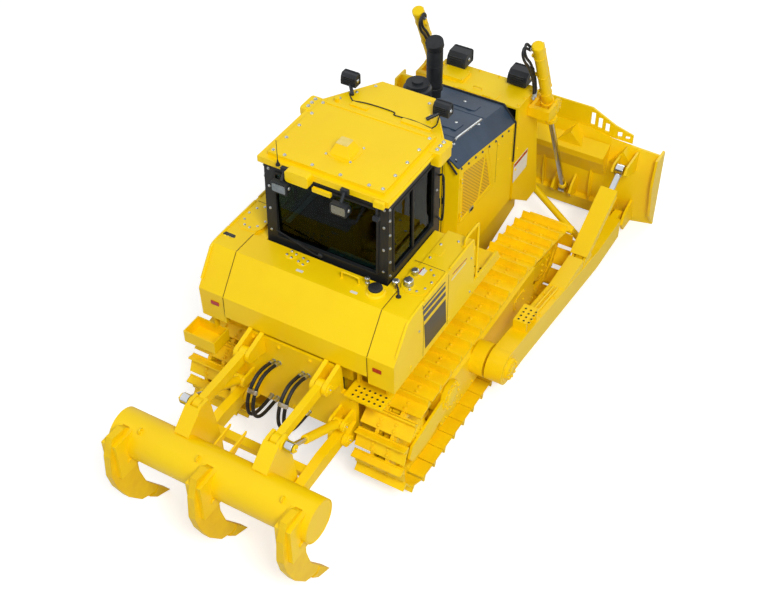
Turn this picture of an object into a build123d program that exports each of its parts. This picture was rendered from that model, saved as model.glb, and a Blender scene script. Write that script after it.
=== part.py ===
"""Crawler bulldozer with a tilting blade, a hexagonal cab and a three-shank ripper.

Millimetres.  +X is forward, +Y is the driver's left, +Z is up.  The origin lies on the ground
in the middle of the machine's outline.  "across" in the comments means along Y.
"""
import math
import os

from build123d import *

# ---------------------------------------------------------------- driving dimensions
# Tracks and what they run on
gauge = 2000                 # between the middles of the two tracks
shoe_width = 560
shoe_count = 40
shoe_plate = 18
grouser_height = 72
link_outside = 70            # pin line out to the shoe's underside
link_inside = 48             # pin line in to the rail that the rollers run on
rail_gap = 130               # between the two rails of one track
rail_width = 40
sprocket_x = -1395
sprocket_pitch_radius = 434
sprocket_teeth = 25
idler_x = 1720
idler_pitch_radius = 340
roller_radius = 105
roller_count = 7
roller_first_x = -860
roller_last_x = 1240
carrier_radius = 84
running_gap = 0.3            # between pieces that rest on each other
pin_fit = 0.05               # radial clearance of a pin that turns in its bore
closed_loop_fit = 0.5        # radial clearance at the linkage's far pins
swing_gap = 6                # between a moving piece and what it passes
knuckle_radius = 9           # door hinges
knuckle_height = 55
hinge_out = 10               # hinge line in front of the door's face
leaf_thickness = 6
leaf_length = 32

pin_height = grouser_height + shoe_plate + link_outside
sprocket_z = pin_height + sprocket_pitch_radius
idler_z = pin_height + idler_pitch_radius
rail_height = pin_height + link_inside
track_y = gauge / 2
track_inner_y = track_y - shoe_width / 2
track_outer_y = track_y + shoe_width / 2

# Carrier rollers: place along, height of the pin line above them
carriers = [(700, 1040), (-350, 1048)]

# Track frames
frame_rear_x = -920
frame_front_x = 1290
frame_low_z = 445
frame_high_z = 800
frame_half_width = 170
pivot_shaft_x = -800
pivot_shaft_z = 640
pivot_shaft_radius = 90
equaliser_x = 950

# Chassis
chassis_half_width = 430
chassis_rear_x = -1560
chassis_front_x = 2300
belly_z = 455
chassis_plate = 30
tank_knee_x = -1774           # fold in the rear tank's back
tank_knee_z = 1880
roof_plate_top = 3235
roof_front_deck_top = 3255
roof_deck_top = 3275
roof_pod_top = 3380
hook_x = 2420                # bore of the front pull hook
hook_z = 605
hook_bore_radius = 26
engine_top_z = 1960
rail_top_z = 1080

# Push arms and blade
trunnion_x = -140
trunnion_z = 610
trunnion_pin_radius = 75
arm_inner_y = 1350
arm_width = 200
blade_pin_x = 3150
blade_pin_z = 220
blade_pin_radius = 40
blade_half_width = 1800
blade_centre_half = 1200     # half of the straight middle of the blade
wing_advance = 150           # how far a wing's tip stands in front of the middle
blade_edge_x = 3400          # front of the cutting edge in the middle
blade_low_z = 5
blade_top_z = 1300
blade_flat_half = 870        # half of the level part of the blade's top edge
blade_corner_z = 1125        # its height at the blade's ends
face_plate = 28
spill_top_z = 1570

# Blade lift cylinders
lift_y = 712
yoke_x = 2355
yoke_z = 2170
lift_eye_x = 3125
lift_eye_z = 450
lift_barrel_radius = 62
lift_rod_radius = 36

# Tilt cylinder and brace
stay_y = 1450
stay_rear_x = 2000
stay_rear_z = 520
stay_front_x = 3000
stay_front_z = 1075

# Stabiliser link between the right arm and the blade's middle
link_eye_x = 2970
link_eye_y = -60
link_eye_z = 700
link_arm_x = 2430
link_arm_y = 1310
link_arm_z = 300
link_pin_radius = 30

# Hood
hood_half_width = 555
hood_front_x = 1840
sill_z = 1640
guard_top_z = 2350
guard_rear_x = 1862
guard_front_top_x = 2340
guard_front_low_x = 2580
guard_low_z = 740
guard_half_width = 575
sheet = 20                   # hood and guard walls

# Cab
cab_floor_z = 1620
cab_sill_z = 2260
cab_top_z = 3170
cab_rear_x = -1170
cab_rear_top_x = -1105
cab_pillar_x = -140          # where the side wall turns towards the nose
cab_nose_x = 420
cab_half_width = 675
cab_nose_half_width = 250
cab_wall = 50
glass = 8
glass_fit = 0.3
roof_top_z = 3300

# Tank and fenders
tank_half_width = 810
fender_inner_y = 690
fender_outer_y = 1100
fender_low_z = 1520
fender_top_z = 2220
tank_top_z = 2255
step_gusset_z = 1660         # below an open cab door

# Ripper linkage: a true parallelogram
arm_pivot_x = -1930
arm_pivot_z = 790
link_pivot_x = -2000
link_pivot_z = 1500
link_run_x = -750            # from the front pivots to the rear ones
link_run_z = -20
ram_pivot_x = -1960
ram_pivot_z = 1010
ripper_pin_radius = 38
ripper_arm_y = 580
ripper_arm_width = 100
upper_link_y = 435
upper_link_width = 76
tower_plate = 35
beam_x = -3115
beam_z = 1140
beam_radius = 220
beam_half_width = 1100
shank_thickness = 76
shank_places = [-958, 0, 958]
shank_fit = 0.3              # gap between a shank and its pocket
shank_front_x = beam_x - 85
shank_rear_x = beam_x - 435
shank_pin_x = beam_x - 215
shank_pin_z = 1020
shank_pin_radius = 28
pocket_plate = 45
pocket_rear_x = beam_x - 355
pocket_low_z = beam_z - 250
pocket_high_z = beam_z + 200

arm_joint_x = arm_pivot_x + link_run_x
arm_joint_z = arm_pivot_z + link_run_z
tower_pin_x = link_pivot_x + link_run_x
tower_pin_z = link_pivot_z + link_run_z

os.makedirs("parts", exist_ok=True)


# ---------------------------------------------------------------- shared ways of making
def face_of(points, plane):
    """A flat face with straight edges."""
    with BuildSketch(plane) as view:
        with BuildLine():
            Polyline(*points, close=True)
        make_face()
    return view.sketch


def slab(points, y0, y1, mode=Mode.ADD):
    """A side view outline, (x, z) points, made solid between two distances across."""
    extrude(face_of(points, Plane.XZ.offset(-max(y0, y1))), amount=abs(y1 - y0), mode=mode)


def deck(points, z0, z1, mode=Mode.ADD):
    """A plan view outline, (x, y) points, made solid between two heights."""
    extrude(face_of(points, Plane.XY.offset(z0)), amount=z1 - z0, mode=mode)


def front(points, x0, x1, mode=Mode.ADD):
    """A front view outline, (y, z) points, made solid between two places along."""
    extrude(face_of(points, Plane.YZ.offset(x0)), amount=x1 - x0, mode=mode)


def block(x0, x1, y0, y1, z0, z1, mode=Mode.ADD):
    """A box between two places along, across and up."""
    with Locations(((x0 + x1) / 2, (y0 + y1) / 2, (z0 + z1) / 2)):
        Box(abs(x1 - x0), abs(y1 - y0), abs(z1 - z0), mode=mode)


def drum(x, z, radius, y0, y1, mode=Mode.ADD):
    """A round piece that lies across the machine."""
    with BuildSketch(Plane.XZ.offset(-max(y0, y1))) as view:
        with Locations((x, z)):
            Circle(radius)
    extrude(view.sketch, amount=abs(y1 - y0), mode=mode)


def bar(start, end, radius, mode=Mode.ADD):
    """A round bar between two points."""
    way = Vector(*end) - Vector(*start)
    with BuildSketch(Plane(origin=start, z_dir=way)) as view:
        Circle(radius)
    extrude(view.sketch, amount=way.length, mode=mode)


def post(x, y, radius, z0, z1, mode=Mode.ADD):
    """An upright round piece."""
    bar((x, y, z0), (x, y, z1), radius, mode)


def ball(centre, radius, mode=Mode.ADD):
    """A round ball."""
    with Locations(centre):
        Sphere(radius, mode=mode)


def knuckles(x, y, way, fixed, heights):
    """Hinge knuckles on an upright axis, each with a leaf that reaches a distance along a direction.

    The hinge line lies hinge_out from the faces.  Those of the fixed piece stand below the others.
    """
    for z in heights:
        low = z - knuckle_height - running_gap if fixed else z
        post(x, y, knuckle_radius, low, low + knuckle_height)
        back_x = x + way[1] * hinge_out
        back_y = y - way[0] * hinge_out
        side_x = -way[1] * leaf_thickness
        side_y = way[0] * leaf_thickness
        reach = -leaf_length if fixed else leaf_length
        reach_x = way[0] * reach
        reach_y = way[1] * reach
        deck([(back_x, back_y), (back_x + reach_x, back_y + reach_y),
              (back_x + reach_x + side_x, back_y + reach_y + side_y), (back_x + side_x, back_y + side_y)],
             low, low + knuckle_height)


def both_sides():
    """Adds the same on the other side of the machine."""
    mirror(about=Plane.XZ)


def finish(piece, name):
    """Names a finished piece and writes it out."""
    piece.part.label = name
    export_step(piece.part, f"parts/{name}.step")


def along(start, end, distance, drop=0):
    """A point at a distance from start towards end in side view, and to the right of that way."""
    run_x = end[0] - start[0]
    run_z = end[1] - start[1]
    length = math.hypot(run_x, run_z)
    step_x = run_x / length
    step_z = run_z / length
    return (start[0] + step_x * distance + step_z * drop,
            start[1] + step_z * distance - step_x * drop)


# ---------------------------------------------------------------- tracks
def belt(circles):
    """Straight and round stretches of a belt round circles (x, z, radius), anticlockwise.

    Each stretch is (length, x, z, heading, radius), with radius 0 on a straight one.
    """
    headings = []
    for here, there in zip(circles, circles[1:] + circles[:1]):
        run_x = there[0] - here[0]
        run_z = there[1] - here[1]
        lean = math.asin((there[2] - here[2]) / math.hypot(run_x, run_z))
        headings.append(math.atan2(run_z, run_x) - lean)
    stretches = []
    for index, heading in enumerate(headings):
        here = circles[index]
        there = circles[(index + 1) % len(circles)]
        out_x = math.sin(heading)
        out_z = -math.cos(heading)
        start = (here[0] + here[2] * out_x, here[1] + here[2] * out_z)
        end = (there[0] + there[2] * out_x, there[1] + there[2] * out_z)
        stretches.append((math.dist(start, end), *start, heading, 0))
        turn = (headings[(index + 1) % len(headings)] - heading) % (2 * math.pi)
        stretches.append((turn * there[2], *end, heading, there[2]))
    return stretches


def point_on(stretches, distance):
    """Where a belt is at a distance along it."""
    for length, x, z, heading, radius in stretches:
        if distance <= length:
            break
        distance -= length
    if radius == 0:
        return (x + distance * math.cos(heading), z + distance * math.sin(heading))
    turned = heading + distance / radius
    centre_x = x - radius * math.sin(heading)
    centre_z = z + radius * math.cos(heading)
    return (centre_x + radius * math.sin(turned), centre_z - radius * math.cos(turned))


def ring_at(pins, offset):
    """The loop of the pins moved out by an offset, as a polygon with a corner at each pin."""
    corners = []
    for before, pin, after in zip(pins[-1:] + pins[:-1], pins, pins[1:] + pins[:1]):
        way_in = math.atan2(pin[1] - before[1], pin[0] - before[0])
        way_out = math.atan2(after[1] - pin[1], after[0] - pin[0])
        half_turn = ((way_out - way_in + math.pi) % (2 * math.pi) - math.pi) / 2
        middle = way_in + half_turn
        reach = offset / math.cos(half_turn)
        corners.append((pin[0] + reach * math.sin(middle), pin[1] - reach * math.cos(middle)))
    return corners


# One shoe in side view: share of its length, and which of its faces is there
shoe_heights = {"underside": link_outside, "plate": link_outside + shoe_plate,
                "grouser": link_outside + shoe_plate + grouser_height}
shoe_outline = [(0.02, "underside"), (0.98, "underside"), (0.98, "plate"), (0.30, "plate"), (0.22, "grouser"),
                (0.14, "grouser"), (0.08, "plate"), (0.02, "plate")]

carrier_circles = [(x, z - link_inside - carrier_radius, carrier_radius + link_inside) for x, z in carriers]
track_path = belt([(sprocket_x, sprocket_z, sprocket_pitch_radius),
                   (idler_x, idler_z, idler_pitch_radius)] + carrier_circles)
track_length = sum(stretch[0] for stretch in track_path)
track_pins = [point_on(track_path, (number + 0.5) * track_length / shoe_count) for number in range(shoe_count)]


def shoe_points(pin, following):
    """One shoe's outline between two pins."""
    length = math.dist(pin, following)
    way_x = (following[0] - pin[0]) / length
    way_z = (following[1] - pin[1]) / length
    points = []
    for share, face in shoe_outline:
        run = share * length
        rise = shoe_heights[face]
        points.append((pin[0] + way_x * run + way_z * rise, pin[1] + way_z * run - way_x * rise))
    return points


with BuildPart() as track_left:
    for side in (-1, 1):
        rail_y = track_y + side * (rail_gap + rail_width) / 2
        slab(ring_at(track_pins, link_outside), rail_y - rail_width / 2, rail_y + rail_width / 2)
        slab(ring_at(track_pins, -link_inside), rail_y - rail_width / 2, rail_y + rail_width / 2, Mode.SUBTRACT)
    with BuildSketch(Plane.XZ.offset(-track_outer_y)) as shoes:
        for pin, following in zip(track_pins, track_pins[1:] + track_pins[:1]):
            with BuildLine():
                Polyline(*shoe_points(pin, following), close=True)
            make_face()
    extrude(shoes.sketch, amount=shoe_width)
finish(track_left, "track_left")

with BuildPart() as track_right:
    mirror(track_left.part, about=Plane.XZ)
finish(track_right, "track_right")

# ---------------------------------------------------------------- sprockets and final drives
sprocket_thickness = 84
sprocket_root = sprocket_pitch_radius - 36
sprocket_tip = sprocket_pitch_radius + 20
drive_hub_radius = 250
drive_case_radius = 290
# One tooth: share of a tooth's turn, and where on the tooth that is
tooth_reach = {"root": sprocket_root, "tip": sprocket_tip}
tooth_outline = [(0.0, "root"), (0.22, "root"), (0.42, "tip"), (0.80, "tip")]


def tooth_points():
    """The toothed rim of a sprocket in side view."""
    points = []
    for tooth in range(sprocket_teeth):
        for share, place in tooth_outline:
            turn = 2 * math.pi * (tooth + share) / sprocket_teeth
            reach = tooth_reach[place]
            points.append((sprocket_x + reach * math.cos(turn), sprocket_z + reach * math.sin(turn)))
    return points


with BuildPart() as sprockets:
    slab(tooth_points(), track_y - sprocket_thickness / 2, track_y + sprocket_thickness / 2)
    drum(sprocket_x, sprocket_z, drive_hub_radius, track_inner_y, track_outer_y, Mode.SUBTRACT)
    both_sides()
finish(sprockets, "sprockets")

drive_reach_y = track_y + 175
with BuildPart() as final_drives:
    with BuildSketch(Plane.YZ.offset(sprocket_x)) as drive_half:
        with BuildLine():
            Polyline((chassis_half_width, sprocket_z), (chassis_half_width, sprocket_z + 210),
                     (620, sprocket_z + 210), (660, sprocket_z + drive_case_radius),
                     (track_y - 95, sprocket_z + drive_case_radius), (track_y - 60, sprocket_z + 268),
                     (track_y - 60, sprocket_z + drive_hub_radius - running_gap),
                     (track_y + 60, sprocket_z + drive_hub_radius - running_gap),
                     (track_y + 90, sprocket_z + 215), (drive_reach_y - 40, sprocket_z + 190),
                     (drive_reach_y, sprocket_z + 120), (drive_reach_y, sprocket_z), close=True)
        make_face()
    revolve(drive_half.sketch, axis=Axis((sprocket_x, 0, sprocket_z), (0, 1, 0)))
    both_sides()
finish(final_drives, "final_drives")

# ---------------------------------------------------------------- idlers and rollers
idler_rim_radius = 272
idler_flange_radius = 305
idler_shaft_radius = 50
yoke_inner = 118             # from the track's middle to the plates that hold idlers and rollers
with BuildPart() as idlers:
    drum(idler_x, idler_z, idler_rim_radius, track_y - 100, track_y + 100)
    drum(idler_x, idler_z, idler_flange_radius, track_y - 56, track_y + 56)
    drum(idler_x, idler_z, idler_rim_radius - 40, track_y + 40, track_y + 100, Mode.SUBTRACT)
    drum(idler_x, idler_z, idler_rim_radius - 40, track_y - 100, track_y - 40, Mode.SUBTRACT)
    drum(idler_x, idler_z, 90, track_y - yoke_inner + running_gap, track_y + yoke_inner - running_gap)
    drum(idler_x, idler_z, idler_shaft_radius, track_y - 160, track_y + 160)
    both_sides()
finish(idlers, "idlers")

roller_z = rail_height + running_gap + roller_radius
roller_step = (roller_last_x - roller_first_x) / (roller_count - 1)
roller_shaft_radius = 34
guard_plate_inner = 140
with BuildPart() as track_rollers:
    for number in range(roller_count):
        roller_x = roller_first_x + number * roller_step
        drum(roller_x, roller_z, roller_radius, track_y - 106, track_y - 30)
        drum(roller_x, roller_z, roller_radius - 25, track_y - 30, track_y + 30)
        drum(roller_x, roller_z, roller_radius, track_y + 30, track_y + 106)
        drum(roller_x, roller_z, roller_shaft_radius, track_y - guard_plate_inner, track_y + guard_plate_inner)
    for carrier_x, carrier_z, reach in carrier_circles:
        drum(carrier_x, carrier_z, carrier_radius - 10, track_y - 106, track_y + 106)
        drum(carrier_x, carrier_z, carrier_radius + 6, track_y - 52, track_y + 52)
        drum(carrier_x, carrier_z, roller_shaft_radius, track_y - 150, track_y - 100)
    both_sides()
finish(track_rollers, "track_rollers")

# ---------------------------------------------------------------- track frames
frame_outer_y = track_y + frame_half_width
boss_radius = 190
boss_face_y = 1325
with BuildPart() as track_frames:
    # the long box beam, with sloping shoulders
    front([(track_y - frame_half_width, frame_low_z), (frame_outer_y, frame_low_z),
           (frame_outer_y, frame_high_z - 60), (frame_outer_y - 60, frame_high_z),
           (track_y - frame_half_width + 60, frame_high_z), (track_y - frame_half_width, frame_high_z - 60)],
          frame_rear_x, frame_front_x)
    # plates down both sides that hold the rollers
    for side in (-1, 1):
        near = track_y + side * guard_plate_inner
        slab([(roller_first_x - 90, frame_low_z), (roller_first_x - 60, 225), (roller_last_x + 60, 225),
              (roller_last_x + 90, frame_low_z)], near, near + side * 25)
        # the fork that holds the idler
        near = track_y + side * yoke_inner
        slab([(frame_front_x, 470), (idler_x - 60, 420), (idler_x + 70, 430), (idler_x + 70, 570),
              (idler_x - 60, 585), (frame_front_x, 700)], near, near + side * 30)
        drum(idler_x, idler_z, idler_shaft_radius + running_gap, near, near + side * 30, Mode.SUBTRACT)
    # brackets of the carrier rollers
    for carrier_x, carrier_z, reach in carrier_circles:
        slab([(carrier_x - 110, frame_high_z - 60), (carrier_x - 45, carrier_z + 45), (carrier_x + 45, carrier_z + 45),
              (carrier_x + 110, frame_high_z - 60)], track_y - 150, track_y - 120)
        drum(carrier_x, carrier_z, roller_shaft_radius + running_gap, track_y - 150, track_y - 120, Mode.SUBTRACT)
    # boss that carries the push arm's trunnion
    drum(trunnion_x, trunnion_z, boss_radius, frame_outer_y, boss_face_y)
    drum(trunnion_x, trunnion_z, trunnion_pin_radius, boss_face_y, arm_inner_y + arm_width)
    # rear guard outboard of the sprocket
    slab([(frame_rear_x, 480), (-1250, 400), (-1600, 420), (-1660, 520), (-1600, 640), (-1250, 690),
          (frame_rear_x, 720)], frame_outer_y + 12, frame_outer_y + 40)
    block(frame_rear_x - 8, frame_rear_x + 150, frame_outer_y - 5, frame_outer_y + 40, 480, 700)
    # end cap and bore of the pivot shaft
    drum(pivot_shaft_x, pivot_shaft_z, 170, frame_outer_y, frame_outer_y + 55)
    drum(pivot_shaft_x, pivot_shaft_z, pivot_shaft_radius + running_gap, track_y - frame_half_width,
         frame_outer_y + 30, Mode.SUBTRACT)
    # seat of the equaliser bar
    block(equaliser_x - 110, equaliser_x + 110, track_y - frame_half_width - 60, track_y - frame_half_width,
          frame_low_z + 60, 640)
    both_sides()
finish(track_frames, "track_frames")

with BuildPart() as cross_shafts:
    drum(pivot_shaft_x, pivot_shaft_z, pivot_shaft_radius, -(frame_outer_y + 30 - running_gap),
         frame_outer_y + 30 - running_gap)
    front([(-800, 640 + running_gap), (-640, 640 + running_gap), (-200, 700), (200, 700), (640, 640 + running_gap),
           (800, 640 + running_gap), (800, 740), (200, 880), (-200, 880), (-800, 740)],
          equaliser_x - 80, equaliser_x + 80)
finish(cross_shafts, "cross_shafts")

# ---------------------------------------------------------------- chassis
rail_outer_y = chassis_half_width
with BuildPart() as main_frame:
    # two side rails, rising at the nose
    for side in (-1, 1):
        slab([(chassis_rear_x + 20, 620), (-900, belly_z), (1500, belly_z), (chassis_front_x, 620),
              (chassis_front_x, 1000), (1700, rail_top_z), (-900, rail_top_z), (chassis_rear_x + 20, 1250)],
             side * rail_outer_y, side * (rail_outer_y - chassis_plate))
    # belly plates and cross members between the rails
    inner_y = rail_outer_y - chassis_plate
    slab([(-900, belly_z), (1500, belly_z), (chassis_front_x, 620), (chassis_front_x, 650), (1500, belly_z + 30),
          (-900, belly_z + 30)], -inner_y, inner_y)
    for member_x in (-700, 300, 1500, chassis_front_x - 60):
        block(member_x, member_x + 50, -inner_y, inner_y, belly_z + 180, 1000)
    # window for the equaliser bar and bores for the pivot shaft
    block(equaliser_x - 120, equaliser_x + 120, -rail_outer_y, rail_outer_y, 650, 920, Mode.SUBTRACT)
    drum(pivot_shaft_x, pivot_shaft_z, pivot_shaft_radius + running_gap, -rail_outer_y, rail_outer_y, Mode.SUBTRACT)
    # pin saddle under the middle of the equaliser bar
    block(equaliser_x - 60, equaliser_x + 60, -60, 60, belly_z + 30, 700 - running_gap)
    # nose with the front pull hook's two ears
    for side in (-1, 1):
        slab([(chassis_front_x, hook_z - 45), (hook_x, hook_z - 75), (hook_x + 60, hook_z - 35),
              (hook_x + 60, hook_z + 45), (hook_x, hook_z + 70), (chassis_front_x, hook_z + 120)],
             side * 45, side * 80)
    drum(hook_x, hook_z, hook_bore_radius, -80, 80, Mode.SUBTRACT)
finish(main_frame, "main_frame")

with BuildPart() as steering_case:
    slab([(-1730, 640), (-1560, 560), (-930, 560), (-930, 1240), (-1560, 1300), (-1730, 1300)],
         -inner_y + 1, inner_y - 1)
    drum(pivot_shaft_x, pivot_shaft_z, pivot_shaft_radius + 60, -inner_y, inner_y, Mode.SUBTRACT)
finish(steering_case, "steering_case")

with BuildPart() as engine_block:
    block(480, 1650, -340, 340, 1000, engine_top_z)
finish(engine_block, "engine_block")

# ---------------------------------------------------------------- plan of the cab, which the hood fits round
slant_run = math.hypot(cab_nose_x - cab_pillar_x, cab_half_width - cab_nose_half_width)
slant_x = (cab_nose_x - cab_pillar_x) / slant_run
slant_y = (cab_nose_half_width - cab_half_width) / slant_run


def cab_plan(rear_x, inset):
    """The cab's outline in plan, moved in by a distance."""
    corner = inset * math.tan(math.atan2(-slant_y, slant_x) / 2)
    nose_corner = inset * math.tan(math.pi / 4 - math.atan2(-slant_y, slant_x) / 2)
    half = [(rear_x + inset, cab_half_width - inset), (cab_pillar_x - corner, cab_half_width - inset),
            (cab_nose_x - inset, cab_nose_half_width - nose_corner)]
    return half + [(x, -y) for x, y in reversed(half)]


door_start = 60              # from the pillar's corner to the door's rear edge
door_end = slant_run - 60
door_hinge_x = cab_pillar_x + slant_x * (door_start - swing_gap / 2) - slant_y * hinge_out
door_hinge_y = cab_half_width + slant_y * (door_start - swing_gap / 2) + slant_x * hinge_out

# ---------------------------------------------------------------- hood
# The hood ends ahead of the cab with cut corners, which an opening cab door passes
hood_rear_x = cab_nose_x + 45
hood_side_rear_x = hood_rear_x + 50
hood_corner_y = 420
stack_x = 1550
stack_y = 300
stack_radius = 75
cleaner_x = 1190
cleaner_y = 310
cleaner_radius = 60
# Hood line: place along, height of the shoulder, height of the top
hood_line = [(hood_rear_x, 2428, 2616), (770, 2395, 2580), (hood_front_x, 2170, 2350)]
hood_top_half = 400


def hood_section(x, shoulder_z, top_z):
    """The bent cover sheet seen from the front at one place."""
    with BuildSketch(Plane.YZ.offset(x)) as section:
        with BuildLine():
            Polyline((-hood_half_width, shoulder_z), (-hood_top_half, top_z), (hood_top_half, top_z),
                     (hood_half_width, shoulder_z), (hood_half_width - 14, shoulder_z),
                     (hood_top_half - 6, top_z - 14), (6 - hood_top_half, top_z - 14),
                     (14 - hood_half_width, shoulder_z), close=True)
        make_face()
    return section.sketch


with BuildPart() as hood_cover:
    for near, far in zip(hood_line, hood_line[1:]):
        loft([hood_section(*near), hood_section(*far)], ruled=True)
    for side in (-1, 1):
        deck([(hood_rear_x - 1, side * hood_corner_y), (hood_side_rear_x, side * hood_half_width),
              (hood_side_rear_x, side * (hood_half_width + 1)), (hood_rear_x - 1, side * (hood_half_width + 1))],
             2300, 2700, Mode.SUBTRACT)
    post(stack_x, stack_y, stack_radius + running_gap, 2000, 2700, Mode.SUBTRACT)
    post(cleaner_x, cleaner_y, cleaner_radius + running_gap, 2000, 2700, Mode.SUBTRACT)
finish(hood_cover, "hood_cover")

door_rear_x = 555
door_front_low_x = 1360
door_front_top_x = 1170
door_top_rear_z = 2385
door_top_front_z = 2270
side_low_z = 1090
hood_hinge_heights = (1760, 2220)
side_outer_y = hood_half_width
side_inner_y = hood_half_width - sheet
with BuildPart() as hood_sides:
    slab([(hood_side_rear_x, side_low_z), (hood_front_x, side_low_z), (hood_front_x, 2170 - running_gap),
          (770, 2395 - running_gap), (hood_side_rear_x, 2422 - running_gap)], side_inner_y, side_outer_y)
    # panel across the cut corner, rising inward under the cover
    corner_run = math.hypot(hood_side_rear_x - hood_rear_x, side_outer_y - hood_corner_y)
    corner_way = ((hood_side_rear_x - hood_rear_x) / corner_run, (side_outer_y - hood_corner_y) / corner_run)
    corner_plane = Plane(origin=(hood_rear_x, hood_corner_y, 0), x_dir=(*corner_way, 0),
                         z_dir=(corner_way[1], -corner_way[0], 0))
    extrude(face_of([(0, side_low_z), (corner_run, side_low_z), (corner_run, 2414), (corner_run - 16, 2414),
                     (12, 2540), (0, 2550)], corner_plane), amount=sheet)
    # half of the rear wall, ahead of the cab's nose
    block(hood_rear_x, hood_rear_x + 10, 0, hood_corner_y, side_low_z, 2560)
    slab([(door_rear_x - swing_gap, sill_z - swing_gap), (door_front_low_x + swing_gap, sill_z - swing_gap),
          (door_front_top_x + swing_gap, door_top_front_z + swing_gap),
          (door_rear_x - swing_gap, door_top_rear_z + swing_gap)], side_inner_y, side_outer_y, Mode.SUBTRACT)
    # foot that stands on the chassis rail
    block(hood_side_rear_x, hood_front_x, rail_outer_y + 1, side_inner_y, side_low_z, side_low_z + 20)
    block(hood_side_rear_x, hood_front_x, rail_outer_y - 25, rail_outer_y + 1, rail_top_z, rail_top_z + 30)
    knuckles(door_rear_x - swing_gap / 2, side_outer_y + hinge_out, (1, 0), True, hood_hinge_heights)
    both_sides()
finish(hood_sides, "hood_sides")

with BuildPart() as hood_door_left:
    slab([(door_rear_x, sill_z), (door_front_low_x, sill_z), (door_front_top_x, door_top_front_z),
          (door_rear_x, door_top_rear_z)], side_inner_y, side_outer_y)
    slab([(door_rear_x + 45, sill_z + 45), (door_front_low_x - 60, sill_z + 45),
          (door_front_top_x - 50, door_top_front_z - 45), (door_rear_x + 45, door_top_rear_z - 50)],
         side_outer_y - 6, side_outer_y, Mode.SUBTRACT)
    knuckles(door_rear_x - swing_gap / 2, side_outer_y + hinge_out, (1, 0), False, hood_hinge_heights)
finish(hood_door_left, "hood_door_left")
with BuildPart() as hood_door_right:
    mirror(hood_door_left.part, about=Plane.XZ)
finish(hood_door_right, "hood_door_right")

guard_side = [(guard_rear_x, guard_low_z + 350), (guard_rear_x, guard_top_z), (guard_front_top_x, guard_top_z),
              (guard_front_low_x, guard_low_z), (chassis_front_x + 20, guard_low_z)]
with BuildPart() as radiator_guard:
    for side in (-1, 1):
        slab(guard_side, side * guard_half_width, side * (guard_half_width - 30))
    block(guard_rear_x, guard_front_top_x - 5, 30 - guard_half_width, guard_half_width - 30,
          guard_top_z - 25, guard_top_z)
    slab([(chassis_front_x + 20, guard_low_z), (guard_front_low_x - 5, guard_low_z),
          (guard_front_low_x - 10, guard_low_z + 30), (chassis_front_x + 20, guard_low_z + 30)],
         30 - guard_half_width, -90)
    slab([(chassis_front_x + 20, guard_low_z), (guard_front_low_x - 5, guard_low_z),
          (guard_front_low_x - 10, guard_low_z + 30), (chassis_front_x + 20, guard_low_z + 30)],
         90, guard_half_width - 30)
    # flange that closes against the hood
    block(guard_rear_x, guard_rear_x + 15, 30 - guard_half_width, guard_half_width - 30, 1110, 1500)
    # side plates bolted to the chassis rails
    for side in (-1, 1):
        block(guard_rear_x + 60, chassis_front_x, side * (rail_outer_y + running_gap),
              side * (guard_half_width - 30), 1010, 1040)
finish(radiator_guard, "radiator_guard")

# The grille leans back with the guard's front edge
grille_low = (guard_front_low_x, guard_low_z)
grille_high = (guard_front_top_x, guard_top_z)
grille_length = math.dist(grille_low, grille_high)
grille_bars = 17
with BuildPart() as radiator_grille:
    inner = guard_half_width - 30 - running_gap
    for near, far in ((60, 130), (grille_length - 110, grille_length - 40)):
        slab([along(grille_low, grille_high, near, -20), along(grille_low, grille_high, far, -20),
              along(grille_low, grille_high, far, -50), along(grille_low, grille_high, near, -50)], -inner, inner)
    for number in range(grille_bars):
        bar_y = -inner + 20 + number * (2 * inner - 40) / (grille_bars - 1)
        slab([along(grille_low, grille_high, 130, -20), along(grille_low, grille_high, grille_length - 110, -20),
              along(grille_low, grille_high, grille_length - 110, -50),
              along(grille_low, grille_high, 130, -50)], bar_y - 6, bar_y + 6)
finish(radiator_grille, "radiator_grille")

with BuildPart() as radiator:
    block(1960, 2150, -500, 500, 1080, guard_top_z - 25 - running_gap)
finish(radiator, "radiator")

with BuildPart() as exhaust_stack:
    post(stack_x, stack_y, stack_radius, engine_top_z + running_gap, 3040)
    post(stack_x, stack_y, 88, 2560, 3000)
    bar((stack_x, stack_y, 3040), (stack_x - 20, stack_y, 3100), 98)
finish(exhaust_stack, "exhaust_stack")

with BuildPart() as air_precleaner:
    post(cleaner_x, cleaner_y, cleaner_radius, engine_top_z + running_gap, 2625)
    post(cleaner_x, cleaner_y, 150, 2620, 2720)
    post(cleaner_x, cleaner_y, 125, 2720, 2790)
    post(cleaner_x, cleaner_y, 60, 2790, 2815)
finish(air_precleaner, "air_precleaner")

# ---------------------------------------------------------------- tank, fenders and steps
tank_side = [(-1780, 1620), (tank_knee_x, tank_knee_z), (-1490, tank_top_z), (cab_rear_x - 25, tank_top_z),
             (cab_rear_x - 25, 1620)]
with BuildPart() as fuel_tank:
    slab(tank_side, -tank_half_width, tank_half_width)
    # rear frame plate that the tank stands on
    slab([(-1640, 1300), (-1610, 1300), (-1610, 1620), (-1640, 1620)], -560, 560)
    block(-1640, -1300, -360, 360, 1300 + running_gap, 1330)
finish(fuel_tank, "fuel_tank")

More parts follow.
